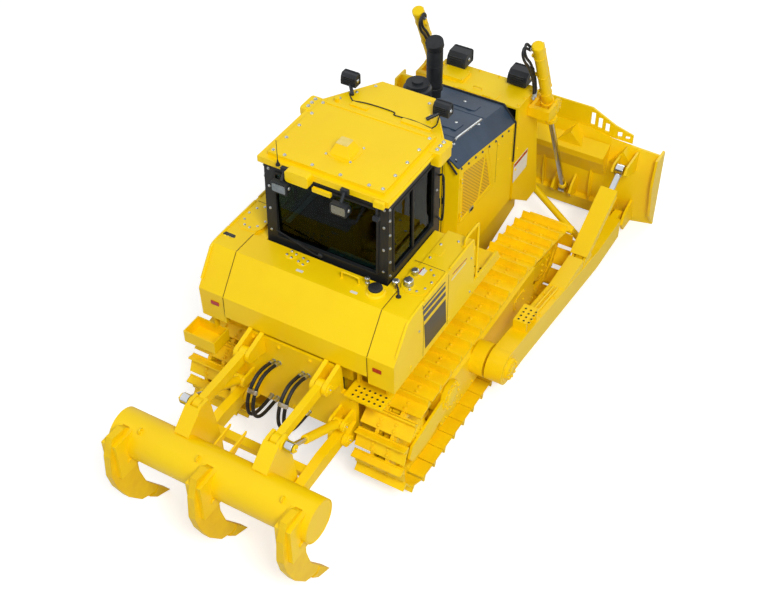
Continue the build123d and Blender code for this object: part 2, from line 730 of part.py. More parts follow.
with BuildPart() as fenders:
    slab([(-1765, fender_low_z), (tank_knee_x, tank_knee_z), (-1490, tank_top_z), (-1260, fender_top_z + 30),
          (-200, fender_top_z + 30), (-150, fender_low_z)], tank_half_width + 3, fender_outer_y)
    slab([(cab_rear_x - 20, 1620), (cab_rear_x - 20, fender_top_z), (-230, fender_top_z), (-180, 1620)],
         cab_half_width + 8, tank_half_width + 3)
    # front step with its gusset
    slab([(-150, fender_low_z), (420, fender_low_z), (420, fender_low_z + 60), (380, step_gusset_z),
          (-180, step_gusset_z)], fender_outer_y - 25, fender_outer_y)
    deck([(-160, cab_half_width + 20), (-160, fender_outer_y), (450, fender_outer_y), (450, cab_nose_half_width + 50),
          (cab_nose_x + 12, cab_nose_half_width + 18), (cab_pillar_x + 12, cab_half_width + 19)],
         fender_low_z, fender_low_z + 30)
    # feet down to the chassis rail
    for foot_x in (-680, -300):
        slab([(foot_x, rail_top_z + running_gap), (foot_x + 60, rail_top_z + running_gap), (foot_x + 60, 1620),
              (foot_x, 1620)],
             rail_outer_y - 20, cab_half_width + 8)
        block(foot_x, foot_x + 60, rail_outer_y - 20, fender_outer_y - 200, 1560, 1620)
    both_sides()
finish(fenders, "fenders")

with BuildPart() as rear_steps:
    # perforated step on the right, open box on the left
    block(-1840, -1590, -1000, -580, 1280, 1305)
    for foot_y, foot_top in ((-960, fender_low_z), (-640, 1620)):
        slab([(-1640, 1305), (-1600, 1305), (-1600, foot_top - running_gap), (-1640, foot_top - running_gap)],
             foot_y, foot_y + 25)
    block(-1900, -1650, 900, 1280, 1150, 1300)
    block(-1888, -1662, 912, 1268, 1165, 1300, Mode.SUBTRACT)
    slab([(-1700, 1300), (-1650, 1300), (-1650, fender_low_z - running_gap), (-1700, fender_low_z - running_gap)],
         1000, 1025)
finish(rear_steps, "rear_steps")

with BuildPart() as filler_caps:
    # place along, across, foot height, radius, height
    caps = [(-1160 - 140, -550, tank_top_z, 62, 60), (-850, -760, fender_top_z, 38, 70),
            (-900, -740 + 20, fender_top_z, 30, 50)]
    for cap_x, cap_y, cap_z, cap_radius, cap_height in caps:
        post(cap_x, cap_y, cap_radius, cap_z, cap_z + cap_height)
finish(filler_caps, "filler_caps")

# ---------------------------------------------------------------- cab
def cab_solid(inset, low_z, high_z, mode=Mode.ADD):
    """A closed cab shape between two heights, with the lean of its rear wall."""
    lean = (cab_rear_top_x - cab_rear_x) / (cab_top_z - cab_floor_z)
    sections = []
    for z in (low_z, high_z):
        rear_x = cab_rear_x + lean * (z - cab_floor_z)
        sections.append(face_of(cab_plan(rear_x, inset), Plane.XY.offset(z)))
    loft(sections, ruled=True, mode=mode)


# The slanted wall that holds a door: local x runs forward, local y up, depth goes inward
door_plane = Plane(origin=(cab_pillar_x, cab_half_width, 0), x_dir=(slant_x, slant_y, 0),
                   z_dir=(slant_y, -slant_x, 0))
hinge_heights = (1850, 2450, 2950)
door_low_z = cab_floor_z + 60
door_high_z = cab_top_z - 90


def door_panel(start, end, low_z, high_z, depth0, depth1, rounding, mode=Mode.ADD):
    """A plate in the slanted wall, between two depths in from its outer face."""
    with BuildSketch(door_plane.offset(depth0)) as view:
        with Locations(((start + end) / 2, (low_z + high_z) / 2)):
            RectangleRounded(end - start, high_z - low_z, rounding)
    extrude(view.sketch, amount=depth1 - depth0, mode=mode)


window_low_z = cab_sill_z + 45
window_high_z = cab_top_z - 110
side_window_rear_x = -1030
side_window_front_x = -270
rear_window_half = 555
nose_window_half = cab_nose_half_width - 60
window_rounding = 60


def side_window(inset, y0, y1, mode=Mode.ADD):
    """The side window's shape, moved in by a distance."""
    with BuildSketch(Plane.XZ.offset(-max(y0, y1))) as view:
        with Locations(((side_window_rear_x + side_window_front_x) / 2, (window_low_z + window_high_z) / 2)):
            RectangleRounded(side_window_front_x - side_window_rear_x - 2 * inset,
                             window_high_z - window_low_z - 2 * inset, window_rounding)
    extrude(view.sketch, amount=abs(y1 - y0), mode=mode)


def end_window(half, inset, x0, x1, low_z, mode=Mode.ADD):
    """A window in the rear wall or the nose, moved in by a distance."""
    with BuildSketch(Plane.YZ.offset(x0)) as view:
        with Locations((0, (low_z + window_high_z) / 2)):
            RectangleRounded(2 * (half - inset), window_high_z - low_z - 2 * inset, window_rounding)
    extrude(view.sketch, amount=x1 - x0, mode=mode)


nose_window_low_z = 2700
with BuildPart() as cab_frame:
    cab_solid(0, cab_floor_z, cab_top_z)
    cab_solid(cab_wall, cab_floor_z + 30, cab_top_z - 30, Mode.SUBTRACT)
    side_window(0, cab_half_width - 80, cab_half_width + 20, Mode.SUBTRACT)
    side_window(0, -cab_half_width - 20, 80 - cab_half_width, Mode.SUBTRACT)
    end_window(rear_window_half, 0, cab_rear_x - 30, cab_rear_x + 200, window_low_z, Mode.SUBTRACT)
    end_window(nose_window_half, 0, cab_nose_x - 80, cab_nose_x + 20, nose_window_low_z, Mode.SUBTRACT)
    door_panel(door_start - swing_gap, door_end + swing_gap, door_low_z - swing_gap, door_high_z + swing_gap,
               -20, cab_wall + 30, 20, Mode.SUBTRACT)
    mirror(about=Plane.XZ, mode=Mode.INTERSECT)
    # blocks that the cab stands on
    for mount_x in (-860, -40):
        for side in (-1, 1):
            block(mount_x, mount_x + 120, side * (rail_outer_y - 30), side * (rail_outer_y + 40),
                  rail_top_z + running_gap, cab_floor_z)
    knuckles(door_hinge_x, door_hinge_y, (slant_x, slant_y), True, hinge_heights)
    both_sides()
finish(cab_frame, "cab_frame")

with BuildPart() as cab_roof:
    roof_side = cab_half_width + 25
    deck([(cab_rear_top_x - 60, -roof_side), (-160, -roof_side), (cab_nose_x + 30, -300), (cab_nose_x + 30, 300),
          (-160, roof_side), (cab_rear_top_x - 60, roof_side)], cab_top_z + running_gap,
         roof_plate_top)
    deck([(cab_rear_top_x, -620), (-130, -620), (-130, 620), (cab_rear_top_x, 620)], roof_plate_top, roof_deck_top)
    deck([(-130, -560), (cab_nose_x - 10, -270), (cab_nose_x - 10, 270), (-130, 560)], roof_plate_top, roof_front_deck_top)
    for side in (-1, 1):
        block(-330, -90, side * 640, side * 770, cab_top_z + running_gap, roof_plate_top)
    with BuildSketch(Plane.XY.offset(roof_deck_top)) as pod_foot:
        with Locations((-750, 0)):
            Rectangle(210, 220)
    with BuildSketch(Plane.XY.offset(roof_pod_top)) as pod_top:
        with Locations((-750, 0)):
            Rectangle(110, 120)
    loft([pod_foot.sketch, pod_top.sketch])
finish(cab_roof, "cab_roof")

with BuildPart() as cab_glass:
    for side in (-1, 1):
        pane_y = side * (cab_half_width - cab_wall / 2)
        side_window(glass_fit, pane_y - glass / 2, pane_y + glass / 2)
    end_window(rear_window_half, glass_fit, cab_rear_x + 64, cab_rear_x + 64 + glass, window_low_z)
    end_window(nose_window_half, glass_fit, cab_nose_x - cab_wall / 2, cab_nose_x - cab_wall / 2 + glass,
               nose_window_low_z)
finish(cab_glass, "cab_glass")

door_thickness = 40
door_frame = 55
with BuildPart() as cab_door_left:
    door_panel(door_start, door_end, door_low_z, door_high_z, 0, door_thickness, 20)
    door_panel(door_start + door_frame, door_end - door_frame, door_low_z + 110, door_high_z - door_frame,
               -10, door_thickness + 10, window_rounding, Mode.SUBTRACT)
    knuckles(door_hinge_x, door_hinge_y, (slant_x, slant_y), False, hinge_heights)
finish(cab_door_left, "cab_door_left")
with BuildPart() as door_glass_left:
    door_panel(door_start + door_frame + glass_fit, door_end - door_frame - glass_fit,
               door_low_z + 110 + glass_fit, door_high_z - door_frame - glass_fit,
               door_thickness / 2 - glass / 2, door_thickness / 2 + glass / 2, window_rounding)
finish(door_glass_left, "door_glass_left")
for made, name in ((cab_door_left, "cab_door_right"), (door_glass_left, "door_glass_right")):
    with BuildPart() as other_side:
        mirror(made.part, about=Plane.XZ)
    finish(other_side, name)

with BuildPart() as operator_seat:
    seat_x = -640
    floor_top = cab_floor_z + 30
    block(seat_x - 180, seat_x + 180, -170, 170, floor_top + running_gap, floor_top + 280)
    block(seat_x - 250, seat_x + 270, -260, 260, floor_top + 280, floor_top + 420)
    slab([(seat_x - 250, floor_top + 420), (seat_x - 130, floor_top + 420), (seat_x - 230, floor_top + 1080),
          (seat_x - 330, floor_top + 1080)], -240, 240)
finish(operator_seat, "operator_seat")

with BuildPart() as control_consoles:
    for side in (-1, 1):
        block(-850, -350, side * 340, side * 560, floor_top + running_gap, floor_top + 640)
        post(-420, side * 440, 18, floor_top + 640, floor_top + 830)
    slab([(150, floor_top + running_gap), (300, floor_top + running_gap), (300, floor_top + 800), (180, floor_top + 800)],
         -150, 150)
finish(control_consoles, "control_consoles")

# ---------------------------------------------------------------- lamps
# Lamp boxes: middle along, across and up, then size along, across and up
lamp_boxes = [(2300, 378, 2460, 200, 230, 150), (2300, -378, 2460, 200, 230, 150),
              (190, 513, 3350, 90, 170, 120), (190, -513, 3350, 90, 170, 120),
              (-1260, 380, 3070, 90, 165, 110), (-1260, -260, 3070, 90, 165, 110)]
with BuildPart() as work_lamps:
    for lamp_x, lamp_y, lamp_z, along_size, across_size, up_size in lamp_boxes:
        # its lens faces away from the cab, and its back is cut to an arch
        half_x = math.copysign(along_size / 2, lamp_x)
        half_z = up_size / 2
        slab([(lamp_x - half_x, lamp_z - half_z), (lamp_x + half_x, lamp_z - half_z), (lamp_x + half_x, lamp_z + half_z),
              (lamp_x - 0.3 * half_x, lamp_z + half_z), (lamp_x - 0.8 * half_x, lamp_z + 0.5 * half_z),
              (lamp_x - half_x, lamp_z - 0.2 * half_z)], lamp_y - across_size / 2, lamp_y + across_size / 2)
    for lamp_y in (-378, 378):
        block(2240, 2330, lamp_y - 60, lamp_y + 60, guard_top_z + running_gap, 2385)
    for lamp_y in (-513, 513):
        bar((60, lamp_y * 0.8, roof_front_deck_top + 17.5), (180, lamp_y, roof_front_deck_top + 65), 18)
    for lamp_y in (-260, 380):
        bar((-1250, lamp_y, 3120), (-1190, lamp_y, 3200), 16)
        block(-1200, cab_rear_top_x - 60 - running_gap, lamp_y - 40, lamp_y + 40, 3180, 3230)
finish(work_lamps, "work_lamps")

# ---------------------------------------------------------------- push arms
arm_outer_y = arm_inner_y + arm_width
arm_side = [(trunnion_x - 60, 440), (240, 400), (2340, 80), (blade_pin_x - 60, 80), (blade_pin_x - 40, 350),
            (2340, 370), (300, 740), (trunnion_x + 60, 790), (trunnion_x - 60, 780)]
arm_eye_radius = 110
arm_eye_width = 90
arm_top_fall = (740 - 370) / (2340 - 300)


def arm_top_z(x):
    """Height of a push arm's sloping top."""
    return 740 - (x - 300) * arm_top_fall


stay_lug_radius = 76
stay_eye_half = 45
stay_ball_radius = 60
stay_pin_radius = 30
lug_gap = 12                 # beside a stay's rear eye
blade_ball_radius = 70
with BuildPart() as push_arm_left:
    slab(arm_side, arm_inner_y, arm_outer_y)
    drum(trunnion_x, trunnion_z, boss_radius, arm_inner_y, arm_outer_y)
    drum(trunnion_x, trunnion_z, trunnion_pin_radius + pin_fit, arm_inner_y - 10, arm_outer_y + 10, Mode.SUBTRACT)
    drum(trunnion_x, trunnion_z, 120, arm_outer_y + swing_gap, arm_outer_y + 40)
    drum(trunnion_x, trunnion_z, 150, arm_outer_y, arm_outer_y + swing_gap)
    drum(trunnion_x, trunnion_z, trunnion_pin_radius + 8, arm_outer_y, arm_outer_y + swing_gap, Mode.SUBTRACT)
    # eye at the blade: narrower than the arm
    for side in (-1, 1):
        block(blade_pin_x - 150, blade_pin_x + 200, stay_y + side * arm_eye_width / 2, stay_y + side * 200, 0, 500,
              Mode.SUBTRACT)
    drum(blade_pin_x, blade_pin_z, arm_eye_radius, stay_y - arm_eye_width / 2, stay_y + arm_eye_width / 2)
    # lugs for the brace
    for side in (-1, 1):
        near = stay_y + side * (stay_eye_half + lug_gap)
        slab([(stay_rear_x - 150, arm_top_z(stay_rear_x - 150) - 20), (stay_rear_x - 60, stay_rear_z + 60),
              (stay_rear_x + 60, stay_rear_z + 60), (stay_rear_x + 150, arm_top_z(stay_rear_x + 150) - 20)],
             near, near + side * 30)
    drum(stay_rear_x, stay_rear_z, stay_pin_radius, stay_y - stay_eye_half - lug_gap - 30,
         stay_y + stay_eye_half + lug_gap + 30)
    ball((stay_rear_x, stay_y, stay_rear_z), stay_ball_radius)
arm_shape = push_arm_left.part
with BuildPart() as push_arm_left:
    add(arm_shape)
    # socket for the ball on the blade
    ball((blade_pin_x, stay_y, blade_pin_z), blade_ball_radius + running_gap, Mode.SUBTRACT)
finish(push_arm_left, "push_arm_left")
with BuildPart() as push_arm_right:
    mirror(arm_shape, about=Plane.XZ)
    # step on top of the arm
    for plate_x in (300, 560):
        slab([(plate_x, 640), (plate_x + 20, 640), (plate_x + 20, 860), (plate_x, 860)],
             -arm_inner_y - 20, -arm_outer_y + 20)
    block(300, 580, -arm_inner_y - 20, 20 - arm_outer_y, 850, 870)
    # cover of the hoses along the arm, up to the tilt cylinder
    slab([(1270, arm_top_z(1270) - 10), (1300, 575), (1840, 590), (1840, arm_top_z(1840) - 10)],
         -arm_inner_y - 8, 8 - arm_outer_y)
    # jaw that holds the stabiliser link's end
    for near in (link_arm_z - 86, link_arm_z + 66):
        block(link_arm_x - 60, link_arm_x + 60, -arm_inner_y, -arm_inner_y + 65, near, near + 20)
finish(push_arm_right, "push_arm_right")

# ---------------------------------------------------------------- blade
fork_gap = 30                # each side of an arm's or lift rod's eye in its fork on the blade
stay_fork_gap = 22           # the same at the tilt cylinder and brace
lift_fork_gap = 62           # the same at a lift rod's eye, which a tilting blade moves sideways
lift_eye_half = 40
guard_x = blade_edge_x - 60  # rear face of the spill guard


def blade_profile():
    """The moldboard plate in side view: a flat foot and a hollow curve above it."""
    with BuildSketch(Plane.XZ) as view:
        with BuildLine():
            foot = Line((blade_edge_x - 25, blade_low_z + 60), (blade_edge_x - 90, 300))
            rise = ThreePointArc(foot @ 1, (blade_edge_x - 150, 760), (blade_edge_x - 40, blade_top_z))
            lip = Line(rise @ 1, (blade_edge_x - 40 - face_plate, blade_top_z))
            back = ThreePointArc(lip @ 1, (blade_edge_x - 150 - face_plate, 760), (blade_edge_x - 90 - face_plate, 300))
            low = Line(back @ 1, (blade_edge_x - 25 - face_plate, blade_low_z + 60))
            Line(low @ 1, foot @ 0)
        make_face()
    return view.sketch


def face_back_x(z):
    """Where the back of the moldboard plate is at a height, in the straight middle."""
    low_x = blade_edge_x - 25 - face_plate
    mid_x = blade_edge_x - 90 - face_plate
    if z < 300:
        return low_x + (mid_x - low_x) * (z - blade_low_z - 60) / (300 - blade_low_z - 60)
    hollow = Edge.make_three_point_arc((mid_x, 300), (blade_edge_x - 150 - face_plate, 760),
                                       (blade_edge_x - 40 - face_plate, blade_top_z))
    centre = hollow.arc_center
    return centre.X - math.sqrt(hollow.radius ** 2 - (z - centre.Y) ** 2)


wing_run = blade_half_width - blade_centre_half


def back_at(z, y):
    """A point inside the moldboard plate at a height and distance across, wings included."""
    beyond = max(0, abs(y) - blade_centre_half)
    return face_back_x(z) + 12 + beyond * wing_advance / wing_run


wing_angle = math.atan2(wing_advance, wing_run)
wing_length = math.hypot(wing_advance, wing_run)
box_rear_x = blade_edge_x - 340
ahead_of_blade = face_of([(back_at(z, 0), z) for z in (900, 1000, 1100, 1200, 1300)]
                         + [(blade_edge_x + 200, 1300), (blade_edge_x + 200, 900)], Plane.XZ)
with BuildPart() as moldboard:
    # middle and wings: the wings are the same curve carried outward and forward
    extrude(blade_profile(), amount=blade_centre_half, both=True)
    for side in (-1, 1):
        with BuildPart(mode=Mode.PRIVATE) as wing:
            extrude(Pos(0, side * blade_centre_half, 0) * blade_profile(),
                    amount=wing_length, dir=(math.sin(wing_angle), side * math.cos(wing_angle), 0))
        add(wing.part)
    # stiffening box across the back
    slab([(blade_edge_x - 130, 1180), (box_rear_x, 1100), (box_rear_x + 15, 1010), (box_rear_x + 105, 850),
          (blade_edge_x - 160, 700)],
         -blade_centre_half, blade_centre_half)
    slab([(face_back_x(330) + 10, 330), (blade_edge_x - 185, 300), (blade_edge_x - 170, 130),
          (face_back_x(110) + 10, 110)], -blade_centre_half, blade_centre_half)
    # end plates
    for side in (-1, 1):
        slab([(blade_edge_x + wing_advance - 70, blade_low_z + 60), (blade_edge_x + wing_advance - 8, blade_low_z + 60),
              (blade_edge_x + wing_advance - 8, blade_corner_z + 20), (blade_edge_x + wing_advance - 250, blade_corner_z + 20),
              (blade_edge_x + wing_advance - 300, 760), (blade_edge_x + wing_advance - 200, 250)],
             side * (blade_half_width - 30), side * blade_half_width)
        # the top edge falls towards the corners
        front([(side * blade_flat_half, blade_top_z), (side * (blade_half_width + 1), blade_corner_z),
               (side * (blade_half_width + 1), blade_top_z + 100), (side * blade_flat_half, blade_top_z + 100)],
              box_rear_x, blade_edge_x + wing_advance + 50, Mode.SUBTRACT)
    # forks of the push arms, lift cylinders and stays: place, half eye width, gap, thickness, ear points
    for side in (-1, 1):
        for ear in (-1, 1):
            near = side * stay_y + ear * (arm_eye_width / 2 + fork_gap)
            slab([(back_at(90, near), 90), (blade_pin_x - 20, 100), (blade_pin_x - 90, blade_pin_z),
                  (blade_pin_x - 20, 340), (back_at(420, near), 420)], near, near + ear * 34)
            near = side * lift_y + ear * (lift_eye_half + lift_fork_gap)
            slab([(back_at(320, near), 320), (lift_eye_x - 30, 370), (lift_eye_x - 85, lift_eye_z),
                  (lift_eye_x - 30, 530), (back_at(640, near), 640)], near, near + ear * 30)
            near = side * stay_y + ear * (stay_eye_half + stay_fork_gap)
            slab([(back_at(880, near), 880), (stay_front_x - 10, stay_front_z - 70), (stay_front_x - 75, stay_front_z),
                  (stay_front_x - 10, stay_front_z + 70), (back_at(1150, near), 1150)], near, near + ear * 28)
        # gables that keep soil off the forks: middle across, half width, foot, ridge, rear end
        for gable_y, half, foot_z, ridge_z, rear_x in ((730, 185, 1105, 1296, 3130), (1395, 150, 1000, 1200, 3190)):
            with BuildPart(mode=Mode.PRIVATE) as gable:
                front([(side * gable_y - half, foot_z), (side * gable_y + half, foot_z), (side * gable_y, ridge_z)],
                      rear_x, blade_edge_x)
                # nothing of it stands in front of the moldboard
                extrude(ahead_of_blade, amount=blade_centre_half, both=True, mode=Mode.SUBTRACT)
                extrude(Pos(0, side * blade_centre_half, 0) * ahead_of_blade, amount=wing_length,
                        dir=(math.sin(wing_angle), side * math.cos(wing_angle), 0), mode=Mode.SUBTRACT)
            add(gable.part)
    # pin and ball of the left arm
    pin_half = arm_eye_width / 2 + fork_gap + 20
    drum(blade_pin_x, blade_pin_z, blade_pin_radius, stay_y - pin_half, stay_y + pin_half)
    ball((blade_pin_x, stay_y, blade_pin_z), blade_ball_radius)
    # bracket and pin of the stabiliser link
    slab([(back_at(560, 0), 560), (link_eye_x + 48, link_eye_z - 60), (link_eye_x + 48, link_eye_z + 60),
          (box_rear_x + 30, 870), (back_at(870, 0), 870)], link_eye_y - 40, link_eye_y + 40)
    bar((link_eye_x - 50, link_eye_y, link_eye_z), (link_eye_x + 48, link_eye_y, link_eye_z), link_pin_radius)
finish(moldboard, "moldboard")

with BuildPart() as cutting_edges:
    # bolted edges: the middle, and a corner bit on each wing
    edge_foot = [(blade_edge_x - 25 - face_plate, blade_low_z + 60 - running_gap),
                 (blade_edge_x - 30, blade_low_z), (blade_edge_x, blade_low_z),
                 (blade_edge_x - 10, blade_low_z + 60 - running_gap)]
    slab(edge_foot, -blade_centre_half, blade_centre_half)
    for side in (-1, 1):
        with BuildPart(mode=Mode.PRIVATE) as bit:
            extrude(Pos(0, side * blade_centre_half, 0) * face_of(edge_foot, Plane.XZ),
                    amount=wing_length, dir=(math.sin(wing_angle), side * math.cos(wing_angle), 0))
        add(bit.part)
finish(cutting_edges, "cutting_edges")

guard_plate = 24
guard_end_y = blade_centre_half + 230
guard_end_z = 1310           # top of the guard at its ends
guard_level_half = 900       # half of the level part of its top
guard_bend = blade_centre_half


def edge_z(y):
    """Height of the blade's top edge at a distance across."""
    return blade_top_z - max(0, y - blade_flat_half) * (blade_top_z - blade_corner_z) / (blade_half_width - blade_flat_half)


def guard_z(y):
    """Height of the spill guard's top at a distance across."""
    return spill_top_z - max(0, y - guard_level_half) * (spill_top_z - guard_end_z) / (guard_end_y - guard_level_half)


with BuildPart() as spill_guard:
    middle = [(0, edge_z(0)), (blade_flat_half, edge_z(blade_flat_half)), (guard_bend, edge_z(guard_bend)),
              (guard_bend, guard_z(guard_bend)), (guard_level_half, guard_z(guard_level_half)), (0, guard_z(0))]
    extrude(face_of([(y, z + running_gap) for y, z in middle], Plane.YZ.offset(guard_x)), amount=guard_plate)
    # the end that follows the blade's wing: distances run along the wing
    wing_plane = Plane(origin=(guard_x, guard_bend, 0), x_dir=(math.sin(wing_angle), math.cos(wing_angle), 0),
                       z_dir=(math.cos(wing_angle), -math.sin(wing_angle), 0))
    wing_end = (guard_end_y - guard_bend) / math.cos(wing_angle)
    extrude(face_of([(0, edge_z(guard_bend) + running_gap), (wing_end, edge_z(guard_end_y) + running_gap),
                     (wing_end, guard_z(guard_end_y)), (0, guard_z(guard_bend) + running_gap)], wing_plane),
            amount=guard_plate)
    # slots, by their near edge from the bend
    for slot_at in (-310, -215, -120, 40, 135):
        slot_y = guard_bend + slot_at
        block(guard_x - 20, guard_x + guard_plate + 60, slot_y, slot_y + 55, edge_z(slot_y) + 35,
              guard_z(slot_y + 55) - 40, Mode.SUBTRACT)
    both_sides()
finish(spill_guard, "spill_guard")

# ---------------------------------------------------------------- lift cylinders
lift_length = math.dist((yoke_x, yoke_z), (lift_eye_x, lift_eye_z))
lift_above = 1060            # barrel above its trunnion
lift_below = 330             # barrel below it
lift_rod_length = 1850       # from the eye to the piston


def on_lift(distance, y):
    """A point on a lift cylinder's line, from its trunnion towards the eye."""
    x, z = along((yoke_x, yoke_z), (lift_eye_x, lift_eye_z), distance)
    return (x, y, z)


yoke_pin_radius = 40
with BuildPart() as lift_cylinder_barrels:
    for side in (-1, 1):
        y = side * lift_y
        bar(on_lift(-lift_above, y), on_lift(lift_below, y), lift_barrel_radius)
        bar(on_lift(-lift_above + 40, y), on_lift(lift_below + 1, y), lift_barrel_radius - 14, Mode.SUBTRACT)
        bar(on_lift(lift_below - 60, y), on_lift(lift_below, y), lift_barrel_radius + 12)
        bar(on_lift(lift_below - 70, y), on_lift(lift_below + 1, y), lift_rod_radius + pin_fit, Mode.SUBTRACT)
        bar(on_lift(-60, y), on_lift(60, y), lift_barrel_radius + 16)
        bar(on_lift(-61, y), on_lift(61, y), lift_barrel_radius - 14, Mode.SUBTRACT)
        for end in (-1, 1):
            drum(yoke_x, yoke_z, yoke_pin_radius, y + end * (lift_barrel_radius + 10), y + end * (lift_barrel_radius + 68))
finish(lift_cylinder_barrels, "lift_cylinder_barrels")

with BuildPart() as lift_cylinder_rods:
    for side in (-1, 1):
        y = side * lift_y
        bar(on_lift(lift_length - lift_rod_length, y), on_lift(lift_length - 50, y), lift_rod_radius)
        bar(on_lift(lift_length - lift_rod_length, y), on_lift(lift_length - lift_rod_length + 60, y),
            lift_barrel_radius - 14 - 0.3)
        drum(lift_eye_x, lift_eye_z, 62, y - lift_eye_half, y + lift_eye_half)
finish(lift_cylinder_rods, "lift_cylinder_rods")

with BuildPart() as lift_yokes:
    for side in (-1, 1):
        for end in (-1, 1):
            near = side * lift_y + end * (lift_barrel_radius + 24)
            drum(yoke_x, yoke_z, 85, near, near + end * 40)
            drum(yoke_x, yoke_z, yoke_pin_radius + pin_fit, near - end, near + end * 41, Mode.SUBTRACT)
        # carrier plate behind the barrel that joins the two ears and meets the guard's side
        block(yoke_x - 250, yoke_x - 190, side * (guard_half_width + running_gap), side * (lift_y + lift_barrel_radius + 64),
              yoke_z - 60, yoke_z + 60)
        for end in (-1, 1):
            near = side * lift_y + end * (lift_barrel_radius + 24)
            slab([(yoke_x - 192, yoke_z - 60), (yoke_x - 192, yoke_z + 60), (yoke_x - 50, yoke_z + 68),
                  (yoke_x - 50, yoke_z - 68)], near, near + end * 40)
finish(lift_yokes, "lift_yokes")

# ---------------------------------------------------------------- tilt cylinder and brace
stay_length = math.dist((stay_rear_x, stay_rear_z), (stay_front_x, stay_front_z))


def on_stay(distance, y):
    """A point on the line of the tilt cylinder or brace."""
    x, z = along((stay_rear_x, stay_rear_z), (stay_front_x, stay_front_z), distance)
    return (x, y, z)


with BuildPart() as brace_left:
    bar(on_stay(60, stay_y), on_stay(stay_length - 60, stay_y), 48)
    bar(on_stay(320, stay_y), on_stay(800, stay_y), 62)
    drum(stay_rear_x, stay_rear_z, stay_lug_radius, stay_y - stay_eye_half, stay_y + stay_eye_half)
    drum(stay_front_x, stay_front_z, stay_lug_radius, stay_y - stay_eye_half, stay_y + stay_eye_half)
    ball((stay_rear_x, stay_y, stay_rear_z), stay_ball_radius + running_gap, Mode.SUBTRACT)
finish(brace_left, "brace_left")

tilt_barrel_length = 640
tilt_barrel_radius = 70
tilt_bore_radius = 54
tilt_rod_radius = 38
tilt_piston_at = 380
cover_top = 115              # top of the cylinder's cover above the cylinder's line
cover_half = 105
cover_plate = 12
cover_from = -60
cover_to = 840


def over_stay(distance, rise):
    """A point in side view above the line of the tilt cylinder."""
    return along((stay_rear_x, stay_rear_z), (stay_front_x, stay_front_z), distance, -rise)


with BuildPart() as tilt_cylinder_barrel:
    bar(on_stay(60, -stay_y), on_stay(170, -stay_y), 42)
    bar(on_stay(160, -stay_y), on_stay(tilt_barrel_length, -stay_y), tilt_barrel_radius)
    # cover over the cylinder: a top, two sides and two webs down to the barrel
    slab([over_stay(cover_from, cover_top - cover_plate), over_stay(cover_to, cover_top - cover_plate),
          over_stay(cover_to, cover_top), over_stay(cover_from, cover_top)], -stay_y - cover_half, cover_half - stay_y)
    for side in (-1, 1):
        near = -stay_y + side * (cover_half - cover_plate)
        slab([over_stay(130, 15), over_stay(cover_to - 60, 15), over_stay(cover_to, cover_top),
              over_stay(cover_from, cover_top), over_stay(cover_from, cover_top - 30)], near, near + side * cover_plate)
    for web_at in (230, 560):
        slab([over_stay(web_at, 0), over_stay(web_at + cover_plate, 0), over_stay(web_at + cover_plate, cover_top),
              over_stay(web_at, cover_top)], -stay_y - cover_half + 1, cover_half - 1 - stay_y)
    bar(on_stay(200, -stay_y), on_stay(tilt_barrel_length + 1, -stay_y), tilt_bore_radius, Mode.SUBTRACT)
    bar(on_stay(tilt_barrel_length - 70, -stay_y), on_stay(tilt_barrel_length, -stay_y), tilt_barrel_radius)
    bar(on_stay(tilt_barrel_length - 71, -stay_y), on_stay(tilt_barrel_length + 1, -stay_y),
        tilt_rod_radius + pin_fit, Mode.SUBTRACT)
    drum(stay_rear_x, stay_rear_z, stay_lug_radius, -stay_y - stay_eye_half, stay_eye_half - stay_y)
    ball((stay_rear_x, -stay_y, stay_rear_z), stay_ball_radius + running_gap, Mode.SUBTRACT)
finish(tilt_cylinder_barrel, "tilt_cylinder_barrel")

with BuildPart() as tilt_cylinder_rod:
    bar(on_stay(tilt_piston_at, -stay_y), on_stay(stay_length - 60, -stay_y), tilt_rod_radius)
    bar(on_stay(tilt_piston_at, -stay_y), on_stay(tilt_piston_at + 60, -stay_y), tilt_bore_radius - running_gap)
    drum(stay_front_x, stay_front_z, stay_lug_radius, -stay_y - stay_eye_half, stay_eye_half - stay_y)
finish(tilt_cylinder_rod, "tilt_cylinder_rod")

with BuildPart() as stabiliser_link:
    bar((link_arm_x, -link_arm_y, link_arm_z), (link_eye_x, link_eye_y, link_eye_z), 42)
    bar((link_eye_x - 42, link_eye_y, link_eye_z), (link_eye_x + 42, link_eye_y, link_eye_z), 64)
    bar((link_eye_x - 60, link_eye_y, link_eye_z), (link_eye_x + 60, link_eye_y, link_eye_z),
        link_pin_radius + pin_fit, Mode.SUBTRACT)
finish(stabiliser_link, "stabiliser_link")

